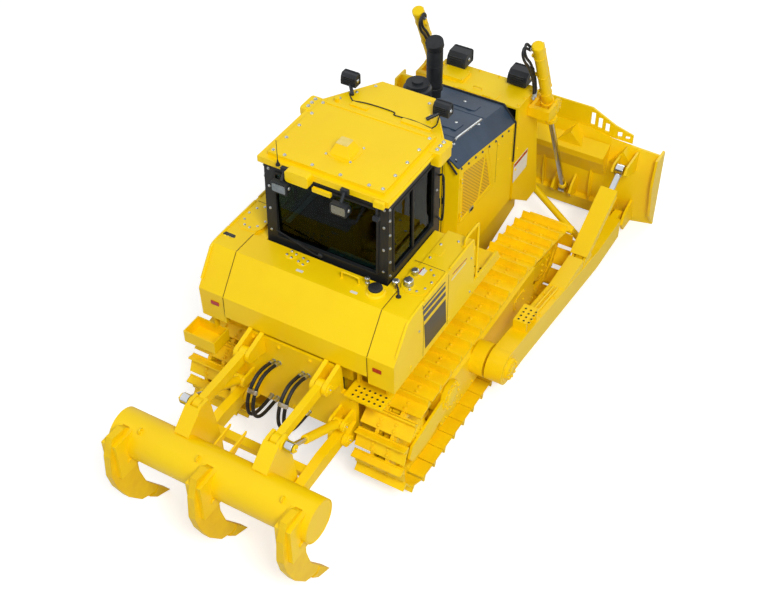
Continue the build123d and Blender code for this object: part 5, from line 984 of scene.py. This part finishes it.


# painted shade: the dark of the narrow gaps between sheets and round the lids, drawn as thin strips
gap_shade_paint = finish("shadowed_panel_gap", "#7A5A12", "#6B4E10", roughness=0.7, patch=0.1, grain=0.01,
    relief=0.0002)
for side in (-1, 1):
    # tank meets fender: up the back, over the slope and along the top
    pressed(on(REAR, -1.7765, side * TANK_SEAM_Y, 1.75), 0.007, 0.255, 0.002, 0.002, steps=1)
    pressed(on_slope(0.235, side * TANK_SEAM_Y, 0.001), 0.007, 0.465, 0.002, 0.002, steps=1)
    pressed(on(TOP, -1.345, side * TANK_SEAM_Y, 2.2555), 0.29, 0.007, 0.002, 0.002, steps=1)
    # lids on the fender's top and on its side
    pressed(on(TOP, -0.742, side * 0.905, FENDER_TOP - 0.0005), 0.006, 0.33, 0.002, 0.0015, steps=1)
    pressed(beside(side, -0.725, FENDER_SIDE - 0.0005, 1.88), 0.006, 0.66, 0.002, 0.0015, steps=1)
    pressed(beside(side, -1.215, FENDER_SIDE - 0.0005, 1.86), 0.006, 0.64, 0.002, 0.0015, steps=1)
    slabbed(side * (FENDER_SIDE - 0.0005), side * (FENDER_SIDE + 0.001),
        [(-1.215, 2.18), (-1.209, 2.18), (-1.245, 2.252), (-1.251, 2.252)])
settle("panel_gap_shade_strips", [gap_shade_paint])

for side in (-1, 1):
    # rounded lips that stiffen the fender's edges
    line(flip(side, [(-1.72, 1.092, 1.96), (-1.56, 1.092, 2.17), (-1.49, 1.092, 2.236), (-1.3, 1.09, 2.25),
        (-1.215, 1.09, 2.25)]), 0.016, 12, 0, 6)
    line(flip(side, [(-1.19, 1.09, 2.248), (-1.15, 1.09, 2.25), (-0.76, 1.09, 2.25)]), 0.016, 12, 0, 4)
    line(flip(side, [(-0.69, 1.09, 2.25), (-0.26, 1.09, 2.25), (-0.205, 1.092, 2.225),
        (-0.19, 1.094, 2.12)]), 0.016, 12, 0, 6)
    for x in (-1.45, -0.7):
        cap(beside(side, x, 1.0995, 1.6), 0.022, 0.004, 0.016, 0.008, 18)
    # raised cover under the caps
    pressed(on(TOP, -0.965, side * 0.925, FENDER_TOP), 0.42, 0.28, 0.12, 0.006, steps=8)
    # small lid ahead of it
    pressed(on(TOP, -0.518, side * 0.88, FENDER_TOP - 0.001), 0.12, 0.09, 0.008, 0.005)
settle("fender_lips_and_lids", [enamel], 0.0015)

for side in (-1, 1):
    for along, across in around(10, 1.0, 0.2):
        bolt(on(TOP, -0.965 + 0.17 * along, side * (0.925 + 0.11 * across), FENDER_TOP + 0.006), 0.02)
    for x, y in ((-0.64, 0.85), (-0.42, 0.85), (-0.3, 0.98)):
        bolt(on(TOP, x, side * y, FENDER_TOP), 0.022)
    for x, z in ((-1.3, 1.95), (-0.25, 1.6), (-0.25, 2.05)):
        bolt(beside(side, x, FENDER_SIDE, z), 0.02)
turned(on(TOP, -1.074, -0.86, FENDER_TOP + 0.006), [(0.05, 0), (0.05, 0.02), (0.044, 0.034), (0.046, 0.04),
    (0.046, 0.058), (0.038, 0.066), (0.01, 0.068)], 32)
turned(on(TOP, -0.921, -0.844, FENDER_TOP + 0.006), [(0.032, 0), (0.032, 0.03), (0.036, 0.036),
    (0.036, 0.056), (0.028, 0.062)], 28)
turned(on(TOP, -1.147, -0.765, 2.222), [(0.014, 0), (0.014, 0.06), (0.034, 0.068), (0.034, 0.098),
    (0.026, 0.106)], 28)
settle("fender_bright_caps_and_bolts", [zinc], 0.0008)

DOME = Vector((-1.323, -0.647, TANK_TOP))
turned(seat(DOME, *TOP), [(0.1, 0), (0.096, 0.01), (0.08, 0.02), (0.076, 0.05), (0.07, 0.052)], 40, 1)
turned(seat(DOME + Vector((0, 0, 0.052)), *TOP), [(0.066, 0), (0.07, 0.004), (0.068, 0.018), (0.05, 0.028),
    (0.02, 0.031), (0.018, 0.04)], 36)
# dipstick tube beside the caps, with its hose
line([(-1.265, -0.859, TANK_TOP), (-1.262, -0.859, 2.262), (-1.22, -0.83, 2.3), (-1.16, -0.775, 2.3),
    (-1.149, -0.766, 2.29)], 0.009, 10)
cap(on(TOP, -1.265, -0.859, 2.252), 0.026, 0.006, 0.014, 0.012, 20)
dark_cap = settle("tank_dark_cap", [rubber, enamel], 0.0008)

# breather post, and two round covers with their bolts on the tank's top
turned(on(TOP, -1.262, -0.525, TANK_TOP), [(0.022, 0), (0.022, 0.03), (0.014, 0.034), (0.014, 0.06),
    (0.026, 0.066), (0.026, 0.086), (0.016, 0.092)], 24)
for x, y in ((-1.265, 0.32), (-1.295, 0.17)):
    cap(on(TOP, x, y, TANK_TOP), 0.062, 0.003, 0.056, 0.006, 32, 1)
    for along, across in around(4, 0.045, 0.5):
        bolt(on(TOP, x + along, y + across, 2.261), 0.02)
post = settle("tank_breather_and_covers", [zinc, enamel], 0.0006)
for piece in (dark_cap, post):
    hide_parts("filler_caps")

pressed(on(TOP, -0.861, -0.89, FENDER_TOP + 0.0062), 0.085, 0.06, 0.003, 0.0008, steps=1)
pressed(on(TOP, -0.861, -0.868, FENDER_TOP + 0.007), 0.077, 0.012, 0.002, 0.0004, 1, steps=1)
for y in (0.13, -0.47):
    pressed(on(TOP, -1.42, y, TANK_TOP), 0.03, 0.075, 0.003, 0.0008, steps=1)
for side in (-1, 1):
    pressed(on(REAR, -1.774, side * 0.92, 1.753), 0.094, 0.046, 0.004, 0.006, 1)
settle("reflectors_and_blank_plate", [white_film, red_lens])
print("tank and fender pieces", triangles["fender_lips_and_lids"],
    triangles["fender_bright_caps_and_bolts"])

# %% Stripes of vinyl film
for side in (-1, 1):
    y0, y1 = side * (FENDER_SIDE + 0.0008), side * (FENDER_SIDE + 0.002)
    slabbed(y0, y1, [(-1.172, 1.606), (-0.749, 1.6), (-0.776, 1.932), (-1.202, 1.946)], 1)
    slabbed(y0, y1, [(-1.206, 1.998), (-0.779, 1.985), (-0.781, 2.038), (-1.222, 2.066)])
    slabbed(y0, y1, [(-1.228, 2.096), (-0.784, 2.078), (-0.789, 2.124), (-1.233, 2.15)])
    slabbed(y0, y1, [(-1.236, 2.176), (-0.791, 2.16), (-0.795, 2.178), (-1.238, 2.203)])
settle("stripes_dark", [navy_film, black_film])
for side in (-1, 1):
    y0, y1 = side * (FENDER_SIDE + 0.0004), side * (FENDER_SIDE + 0.0014)
    slabbed(y0, y1, [(-0.661, 2.08), (-0.365, 2.078), (-0.365, 2.092), (-0.661, 2.094)])
    slabbed(y0, y1, [(-0.644, 2.144), (-0.346, 2.116), (-0.346, 2.13), (-0.644, 2.158)], 1)
settle("stripes_pale", [white_film, red_lens])

# %% [markdown]
# Bent grab rails stand beside both platforms. The step plates have rows of pressed holes, whose raised rims
# give grip; each hole is a small disc of painted shade with a rolled rim round it.

# %% Rails and steps
for side in (-1, 1):
    line(flip(side, [(-0.33, 1.06, 2.252), (-0.322, 1.066, 2.325), (-0.285, 1.07, 2.35),
        (-0.14, 1.072, 2.352), (-0.078, 1.074, 2.345), (-0.068, 1.076, 2.28), (-0.068, 1.08, 1.56)]), 0.014,
        12, 0, 8)
    cap(on(TOP, -0.33, side * 1.06, FENDER_TOP), 0.032, 0.006, 0.018, 0.01, 18)
# loop on the tank's top
line([(-1.3, -0.265, 2.25), (-1.3, -0.268, 2.315), (-1.3, -0.285, 2.332), (-1.3, -0.435, 2.332),
    (-1.3, -0.452, 2.315), (-1.3, -0.455, 2.25)], 0.01, 10, 0, 4)
settle("grab_rails", [enamel])

# painted shade: the dark seen inside each pressed hole
hole_shade_paint = finish("shadow_inside_pressed_holes", "#3A2B0C", "#2E2209", roughness=0.8, patch=0.1,
    grain=0.01, relief=0.0002)
GRIP_PITCH = 0.06


def grip_holes(x0, x1, y0, y1, z):
    """Rows of pressed holes with raised rims on a level plate."""
    count_x, count_y = int((x1 - x0) / GRIP_PITCH) + 1, int((y1 - y0) / GRIP_PITCH) + 1
    for i in range(count_x):
        for j in range(count_y):
            place = on(TOP, x0 + GRIP_PITCH * i, y0 + GRIP_PITCH * j, z)
            turned(place, [(0.021, 0), (0.018, 0.005), (0.013, 0.006)], 10)
            # the disc inside the rim is painted shade
            turned(place @ by(0, 0, 0.006), [(0.0125, 0), (0.0125, 0.0006)], 10, 1)


grip_holes(-1.8, -1.63, -0.96, -0.62, 1.3048)
for side in (-1, 1):
    low, high = sorted((side * 0.72, side * 1.02))
    grip_holes(-0.02, 0.16, low, high, 1.5498)
grip_holes(0.33, 0.55, -1.54, -1.37, 0.87)
settle("step_grip_holes", [enamel, hole_shade_paint])
print("grip holes", triangles["step_grip_holes"])

# %% [markdown]
# The hood's side doors breathe through perforated sheet. The holes are too many to cut, so the sheet's
# finish draws them: a grid of dots thirty millimetres apart, turned by half a right angle, with painted
# shade inside each hole. The real pitch is nearer ten millimetres, which a picture of the whole machine
# can't show.

# %% Perforated sheet
def perforated(name, chart, pitch, hole):
    """Painted sheet with round holes, drawn in the plane of length and height as dots of painted shade."""
    made, tree, output = blank_material(name)
    place = add(tree, "TexCoord").outputs["Object"]
    turned_place = add(tree, "Mapping", {"Rotation": (-math.pi / 2, 0, math.pi / 4)}, {"Vector": place})
    dots = add(tree, "TexVoronoi", {"voronoi_dimensions": "2D", "Scale": 1 / pitch, "Randomness": 0.0},
        {"Vector": turned_place.outputs["Vector"]})
    tone = add(tree, "ValToRGB", links={"Fac": dots.outputs["Distance"]})
    # the colour inside each hole is painted shade, the dark seen through the sheet
    tone.color_ramp.elements[0].position = hole
    tone.color_ramp.elements[0].color = linear("#A97C04")
    tone.color_ramp.elements[1].position = hole + 0.06
    tone.color_ramp.elements[1].color = linear(chart)
    bumps = add(tree, "Bump", {"Strength": 0.6, "Distance": 0.002}, {"Height": dots.outputs["Distance"]})
    surface = add(tree, "BsdfPrincipled", {"Roughness": 0.38, "Coat Weight": 0.15, "Coat Roughness": 0.1,
        "IOR": 1.5}, {"Base Color": tone.outputs["Color"], "Normal": bumps.outputs["Normal"]})
    tree.links.new(surface.outputs["BSDF"], output.inputs["Surface"])
    return made


perforated_sheet = perforated("perforated_steel_sheet_enamelled", "#EDBD08", 0.03, 0.27)
HOOD_SIDE, SCREEN_BACK, SCREEN_FACE = 0.555, 0.5495, 0.5525
for side, label in SIDES:
    slabbed(side * SCREEN_BACK, side * SCREEN_FACE, [(0.625, 1.705), (0.985, 1.705), (1.105, 2.195),
        (0.625, 2.305)])
    slabbed(side * SCREEN_BACK, side * SCREEN_FACE, [(1.045, 1.705), (1.275, 1.705), (1.145, 2.15)])
    settle("hood_door_screen_" + label, [perforated_sheet], body=label + "_hood_door")
    pressed(beside(side, 0.836, 0.5526, 1.672), 0.1, 0.046, 0.008, 0.008)
    pressed(beside(side, 0.836, 0.5606, 1.672), 0.06, 0.024, 0.008, 0.008, 1)
    for z in (1.78, 2.22):
        hinge = beside(side, 0.584, HOOD_SIDE, z)
        pressed(hinge, 0.045, 0.08, 0.008, 0.004, 2)
        for up in (-0.024, 0.024):
            bolt(hinge @ by(0, up, 0.004), 0.014)
    settle("hood_door_fittings_" + label, [zinc, rubber, enamel], 0.001, body=label + "_hood_door")
for side in (-1, 1):
    # the gaps between the hood's side panels are thin strips of painted shade
    for x, high in ((1.405, 2.2), (1.815, 2.12)):
        slabbed(side * (HOOD_SIDE - 0.0005), side * (HOOD_SIDE + 0.0008),
            [(x, 1.645), (x + 0.005, 1.645), (x + 0.005, high), (x, high)])
    for z in (1.72, 1.94, 2.14):
        for x in (1.44, 1.78):
            bolt(beside(side, x, HOOD_SIDE, z), 0.02, 1)
settle("hood_side_gap_shade_and_bolts", [gap_shade_paint, enamel])
print("screens", triangles["hood_door_screen_left"])

# %% [markdown]
# Each lift cylinder has a cap, bands, a gland, a yellow steel pipe and two black hoses. The hoses are
# formed lines that are clipped to the barrel from its port down to its yoke, so they ride on the barrel and
# don't hang free.

# %% Lift cylinders
YOKE_X, YOKE_Z, LIFT_Y = 2.355, 2.17, 0.712
YOKE = Vector((YOKE_X, 0, YOKE_Z))
LIFT_WAY = Vector((0.77, 0, -1.72)).normalized()
LIFT_FRONT = Vector((-LIFT_WAY.z, 0, LIFT_WAY.x))


def aimed(origin, direction):
    """A frame whose z points along a direction."""
    z = Vector(direction).normalized()
    x = z.orthogonal().normalized()
    return Matrix.Translation(Vector(origin)) @ Matrix((x, z.cross(x), z)).transposed().to_4x4()


def on_barrel(side, distance, out=0.0, across=0.0):
    """A point by a lift cylinder: distance below its yoke, out to the front, and away from the middle."""
    return YOKE + LIFT_WAY * distance + LIFT_FRONT * out + Vector((0, side * (LIFT_Y + across), 0))


BANDS = (-0.9, -0.56, -0.24)
# way of a black hose down its barrel: distance below the yoke, shift to the front, place across
LIFT_HOSE = [(-1.08, 0.0, -0.098), (-1.12, -0.03, -0.104), (-1.08, -0.085, -0.1), (-0.96, -0.085, -0.092),
    (-0.8, -0.04, -0.086), (-0.56, -0.01, -0.086), (-0.44, -0.018, -0.084), (-0.35, -0.04, -0.082)]
# way of the steel pipe, in the same columns
LIFT_PIPE = [(-0.99, 0.06, 0.01), (-0.985, 0.092, 0.01), (-0.94, 0.098, 0.01), (-0.26, 0.098, 0.01),
    (-0.19, 0.09, -0.02)]
for side in (-1, 1):
    turned(aimed(on_barrel(side, -1.052), -LIFT_WAY), [(0.062, -0.03), (0.068, -0.026), (0.068, 0.022),
        (0.058, 0.034), (0.03, 0.038)], 32)
    cap(aimed(on_barrel(side, -1.014, 0, -0.05), (0, -side, 0)), 0.024, 0.034, 0.018, 0.04, 6)
    for distance in BANDS:
        turned(aimed(on_barrel(side, distance), LIFT_WAY),
            [(0.0625, 0), (0.0675, 0.002), (0.0675, 0.028), (0.0625, 0.03)], 32, hollow=True)
        place = aimed(on_barrel(side, distance + 0.015, -0.01, -0.062), (0, -side, 0))
        pressed(place, 0.034, 0.07, 0.008, 0.018)
    for out, across in around(8, 0.055):
        bolt(aimed(on_barrel(side, 0.331, out, across), LIFT_WAY), 0.02)
settle("lift_cylinder_bands", [enamel], 0.001, body="lift_barrels")
for side in (-1, 1):
    line([on_barrel(side, *spot) for spot in LIFT_PIPE], 0.0125, 10, 0, 6)
    for distance in BANDS:
        turned(aimed(on_barrel(side, distance, 0.098, 0.01), LIFT_WAY), [(0.017, 0), (0.017, 0.03)], 12)
settle("lift_cylinder_pipes", [enamel], body="lift_barrels")
for side in (-1, 1):
    for back, low in ((-0.022, -0.265), (-0.07, -0.285)):
        port, end = on_barrel(side, -1.0, back * 0.4, -0.078), on_barrel(side, low, back - 0.075, -0.08)
        way = [on_barrel(side, distance, back + out, across) for distance, out, across in LIFT_HOSE]
        line([port, *way, end], 0.0155, 12, 0, 6)
        turned(aimed(end, LIFT_WAY - 0.7 * LIFT_FRONT),
            [(0.019, -0.04), (0.019, 0.0), (0.022, 0.004), (0.022, 0.024)], 12, 1)
        cap(aimed(port, -LIFT_WAY), 0.019, 0.036, 0.017, 0.04, 12, 1)
settle("lift_cylinder_hoses", [hose_rubber, zinc], body="lift_barrels")
for side in (-1, 1):
    for across in (-0.126, 0.126):
        face = side * LIFT_Y + across
        for angle in (0.785, 2.356, 3.927, 5.498):
            x, z = YOKE_X + 0.064 * math.cos(angle), YOKE_Z + 0.064 * math.sin(angle)
            bolt(on(SIDE[1 if across > 0 else -1], x, face, z), 0.022)
settle("lift_yoke_bolts", [cast_enamel])
for side in (-1, 1):
    eye = Vector((3.125, side * LIFT_Y, 0.45))
    turned(aimed(eye - LIFT_WAY * 0.095, LIFT_WAY), [(0.037, 0), (0.046, 0.006), (0.052, 0.05)], 24)
    cap(aimed(eye - LIFT_FRONT * 0.06, -LIFT_FRONT), 0.009, 0.01, 0.005, 0.014, 8, 1)
settle("lift_rod_collars", [enamel, zinc], 0.001, body="lift_rods")
print("lift cylinder pieces", triangles["lift_cylinder_hoses"], triangles["lift_cylinder_bands"])

# %% [markdown]
# Every pivot of the ripper is a hardened pin under a round cap. A cap is held by bolts and carries a grease
# nipple in its middle. One table gives each cap its place, its radius and the body whose plate it is bolted
# to.

# %% Ripper pins
PIN_CAPS = [(-1.93, 0.79, 0.681, 0.058, "chassis"), (-2.0, 1.5, 0.524, 0.056, "chassis"),
    (-1.96, 1.01, 0.662, 0.046, "chassis"), (-2.68, 0.77, 0.63, 0.056, "ripper_frame"),
    (-2.75, 1.48, 0.626, 0.044, "ripper_rods")]
for body in ("chassis", "ripper_frame", "ripper_rods"):
    for x, z, out_y, radius in [row[:4] for row in PIN_CAPS if row[4] == body]:
        for side in (-1, 1):
            place = beside(side, x, out_y, z)
            cap(place, radius, 0.01, radius - 0.004, 0.014, 28)
            for across, up in around(3, 0.66 * radius, 0.5):
                bolt(place @ by(across, up, 0.014), 0.018)
            cap(place @ by(0, 0, 0.014), 0.007, 0.008, 0.003, 0.014, 8, 1)
    settle("pin_caps_" + body, [enamel, zinc], 0.001, body=body)

BEAM, BEAM_BEAD, SHANK_Y = (-3.115, 1.14), 0.2085, 0.958
for side in (-1, 1):
    # beam's end plate: a weld bead round it
    circle = around(48, BEAM_BEAD)
    bead = [Vector((BEAM[0] + x, side * 1.0985, BEAM[1] + z)) for x, z in circle + circle[:1]]
    line(bead, 0.007, 6, 0, 0)
for shank_y in (-SHANK_Y, 0, SHANK_Y):
    for side in (-1, 1):
        face = shank_y + side * 0.0885
        place = on(SIDE[side], -3.33, face, 1.02)
        turned(place, [(0.03, -0.004), (0.03, 0.004), (0.024, 0.01)], 18)
settle("beam_beads_and_pins", [cast_enamel], body="ripper_carrier")

# the towers are closed behind by a face plate; fins brace the beam's front, and eyes to lift it by stand on
# its top
FACE_WAY = Vector((-0.245, 0, -0.205)).normalized()
for side in (-1, 1):
    middle = Vector((-2.81, side * 0.435, 1.55)) + FACE_WAY * 0.165
    pressed(seat(middle, FACE_WAY, (0, -1, 0)), 0.285, 0.166, 0.006, 0.012)
for y in (-0.01, 0.17):
    slabbed(y, y + 0.02, [(-2.925, 1.225), (-2.64, 1.25), (-2.655, 1.225), (-2.903, 1.12)])
for y in (-0.79, 0.135, 0.79):
    eye = on(SIDE[1], BEAM[0] - 0.088, y, BEAM[1] + 0.219)
    turned(eye, [(0.013, -0.008), (0.034, -0.008), (0.034, 0.008), (0.013, 0.008)], 20, hollow=True)
settle("ripper_tower_faces_and_eyes", [enamel], 0.001, body="ripper_carrier")

# bright hex fittings where the four hoses leave the plate and go back in
for node, (out_y, back_y) in HOSE_PLACES.items():
    turned(on(REAR, REAR_PLATE_X, out_y, HOSE_START_Z), [(0.03, 0), (0.03, 0.006)], 6)
    turned(on(REAR, REAR_PLATE_X, back_y, HOSE_END_Z), [(0.03, 0), (0.03, 0.006)], 6)
settle("hose_sockets", [zinc], 0.0008)
for side in (-1, 1):
    for y, z in ((0.64, 1.2), (0.64, 0.73), (0.48, 1.52), (0.18, 1.52), (0.06, 0.73)):
        bolt(on(REAR, REAR_PLATE_X, side * y, z), 0.034)
settle("rear_plate_bolts", [enamel])
print("ripper caps", triangles["pin_caps_chassis"])

# %% [markdown]
# Bolt rings close the round covers low on the machine: the push arms' trunnion caps, the final drives'
# hubs, the pivot shafts and the roller guards. A ring is the same few lines for each: a place, a radius and
# a count.

# %% Bolt rings
TRUNNION, FINAL_DRIVE, PIVOT_SHAFT = (-0.14, 1.59, 0.61), (-1.395, 1.175, 0.594), (-0.8, 1.225, 0.64)


def bolt_ring(side, x, y, z, radius, count, size, skin=0):
    """Bolts on a circle that faces sideways."""
    for n in range(count):
        angle = 2 * math.pi * (n + 0.5) / count
        bolt(beside(side, x + radius * math.cos(angle), y, z + radius * math.sin(angle)), size, skin)


for side, label in SIDES:
    bolt_ring(side, *TRUNNION, 0.096, 10, 0.03)
    cap(beside(side, *TRUNNION), 0.062, 0.006, 0.052, 0.01, 32)
    # hold-down straps along the arm
    for x in (0.7, 1.1):
        top = 0.74 - 0.1814 * (x - 0.3)
        pressed(seat((x, side * 1.45, top - 0.001), (1, 0, -0.181), (0, 1, 0)), 0.05, 0.17, 0.01, 0.008)
        for y in (1.385, 1.515):
            bolt(on(TOP, x, side * y, top + 0.007), 0.022)
    if side < 0:
        for y in (1.425, 1.475):
            line([(0.64, -y, 0.7), (0.68, -y, 0.692), (1.06, -y, 0.624), (1.27, -y, 0.585)], 0.013, 10, 0,
                4)
    settle("push_arm_fittings_" + label, [enamel], 0.001, body=label + "_arm")
for side in (-1, 1):
    bolt_ring(side, *FINAL_DRIVE, 0.095, 12, 0.026)
    turned(beside(side, *FINAL_DRIVE), [(0.07, 0), (0.07, 0.008), (0.058, 0.014), (0.016, 0.018)], 32)
    bolt_ring(side, *PIVOT_SHAFT, 0.14, 12, 0.028)
    cap(beside(side, *PIVOT_SHAFT), 0.11, 0.008, 0.096, 0.014, 36)
    for n in range(7):
        x = -0.86 + 0.35 * n
        for off in (-0.05, 0.05):
            bolt(beside(side, x + off, 1.165, 0.28), 0.03)
    for x, z in ((1.56, 0.47), (1.56, 0.56), (1.68, 0.455), (1.68, 0.55)):
        bolt(beside(side, x, 1.148, z), 0.028)
    # drain plugs and the cover of the track adjuster
    pressed(beside(side, 0.9, 1.17, 0.56), 0.26, 0.17, 0.03, 0.008)
    for x in (0.8, 1.0):
        for z in (0.5, 0.62):
            bolt(beside(side, x, 1.178, z), 0.022)
settle("track_frame_fittings", [enamel], 0.001)
print("track frame bolts", triangles["track_frame_fittings"])

# %% Blade's ribs and edge bolts
for side in (-1, 1):
    for y in (0.4, 1.02):
        slabbed(side * (y - 0.01), side * (y + 0.01), [(3.238, 0.72), (3.195, 0.79), (3.18, 0.6),
            (3.215, 0.3), (3.285, 0.24), (3.3, 0.3), (3.262, 0.52)])
for n in range(12):
    y = -1.1 + 0.2 * n
    turned(on(FRONT, 3.4, y, 0.04), [(0.017, 0), (0.014, 0.003)], 12)
settle("blade_ribs_and_plough_bolts", [enamel], 0.0015, body="blade")
print("all added pieces", len(triangles), "with", sum(triangles.values()), "triangles")

# %% [markdown]
# The machine stands on a plain pale floor under studio light: one large soft box high behind the camera, a
# weaker one on the far side and a pale sky. The floor is seen nearly white, yet keeps the soft shadow,
# because only the camera's own rays get the extra white.

# %% Floor, sky and soft boxes
FLOOR_HALF = 60.0
stage_mesh = bpy.data.meshes.new("floor")
stage_mesh.from_pydata([(-FLOOR_HALF, -FLOOR_HALF, 0), (FLOOR_HALF, -FLOOR_HALF, 0),
    (FLOOR_HALF, FLOOR_HALF, 0), (-FLOOR_HALF, FLOOR_HALF, 0)], [], [(0, 1, 2, 3)])
floor = bpy.data.objects.new("floor", stage_mesh)
bpy.context.scene.collection.objects.link(floor)
floor_paint, tree, output = blank_material("matt_white_studio_floor")
matt = add(tree, "BsdfDiffuse", {"Color": linear("#DEDEDE")})
glow = add(tree, "Emission", {"Color": linear("#FFFFFF"), "Strength": 0.58})
both = add(tree, "AddShader", links={0: matt.outputs["BSDF"], 1: glow.outputs["Emission"]})
seen = add(tree, "LightPath")
# far from the machine the floor is seen as plain white, so that it meets the sky without a line
place = add(tree, "TexCoord").outputs["Object"]
away = add(tree, "VectorMath", {"operation": "LENGTH"}, {0: place})
far_share = add(tree, "MapRange", {"From Min": 5.0, "From Max": 16.0, "To Min": 0.0, "To Max": 1.0,
    "interpolation_type": "SMOOTHSTEP"}, {"Value": away.outputs["Value"]})
white = add(tree, "Emission", {"Color": linear("#FFFFFF"), "Strength": 1.0})
shown = add(tree, "MixShader", links={"Fac": far_share.outputs["Result"], 1: both.outputs["Shader"],
    2: white.outputs["Emission"]})
choice = add(tree, "MixShader", links={"Fac": seen.outputs["Is Camera Ray"], 1: matt.outputs["BSDF"],
    2: shown.outputs["Shader"]})
tree.links.new(choice.outputs["Shader"], output.inputs["Surface"])
stage_mesh.materials.append(floor_paint)

sky = bpy.data.worlds.new("studio")
bpy.context.scene.world = sky
sky.use_nodes = True
tree = sky.node_tree
tree.nodes.clear()
seen = add(tree, "LightPath")
through = add(tree, "Math", {"operation": "MAXIMUM"}, {0: seen.outputs["Is Glossy Ray"],
    1: seen.outputs["Is Transmission Ray"]})
direct = add(tree, "Math", {"operation": "MAXIMUM"}, {0: seen.outputs["Is Camera Ray"],
    1: through.outputs["Value"]})
plain = add(tree, "Background", {"Color": linear("#FFFFFF"), "Strength": 1.0})
dim = add(tree, "Background", {"Color": linear("#F3F6FA"), "Strength": 0.42})
mixed = add(tree, "MixShader", links={"Fac": direct.outputs["Value"], 1: dim.outputs["Background"],
    2: plain.outputs["Background"]})
world_output = tree.nodes.new("ShaderNodeOutputWorld")
tree.links.new(mixed.outputs["Shader"], world_output.inputs["Surface"])


def soft_box(name, place, aim, size, watts, chart="#FFFFFF"):
    """A square area lamp that looks at a point."""
    lamp = bpy.data.lights.new(name, "AREA")
    lamp.shape = "SQUARE"
    lamp.size = size
    lamp.energy = watts
    lamp.color = linear(chart)[:3]
    stand = bpy.data.objects.new(name, lamp)
    stand.location = place
    stand.rotation_euler = (Vector(aim) - Vector(place)).to_track_quat("-Z", "Y").to_euler()
    bpy.context.scene.collection.objects.link(stand)
    return stand


MACHINE_MIDDLE = (0, 0, 1.4)
soft_box("key", (-9.0, -9.5, 15.0), MACHINE_MIDDLE, 5.0, 2050, "#FFFDF8")
soft_box("fill", (-4.0, 12.0, 8.0), MACHINE_MIDDLE, 9.0, 330, "#F6FAFF")
soft_box("front", (14.0, -2.0, 9.0), MACHINE_MIDDLE, 8.0, 420)

# %% Colour view, and the end
bpy.context.scene.view_settings.view_transform = "Standard"
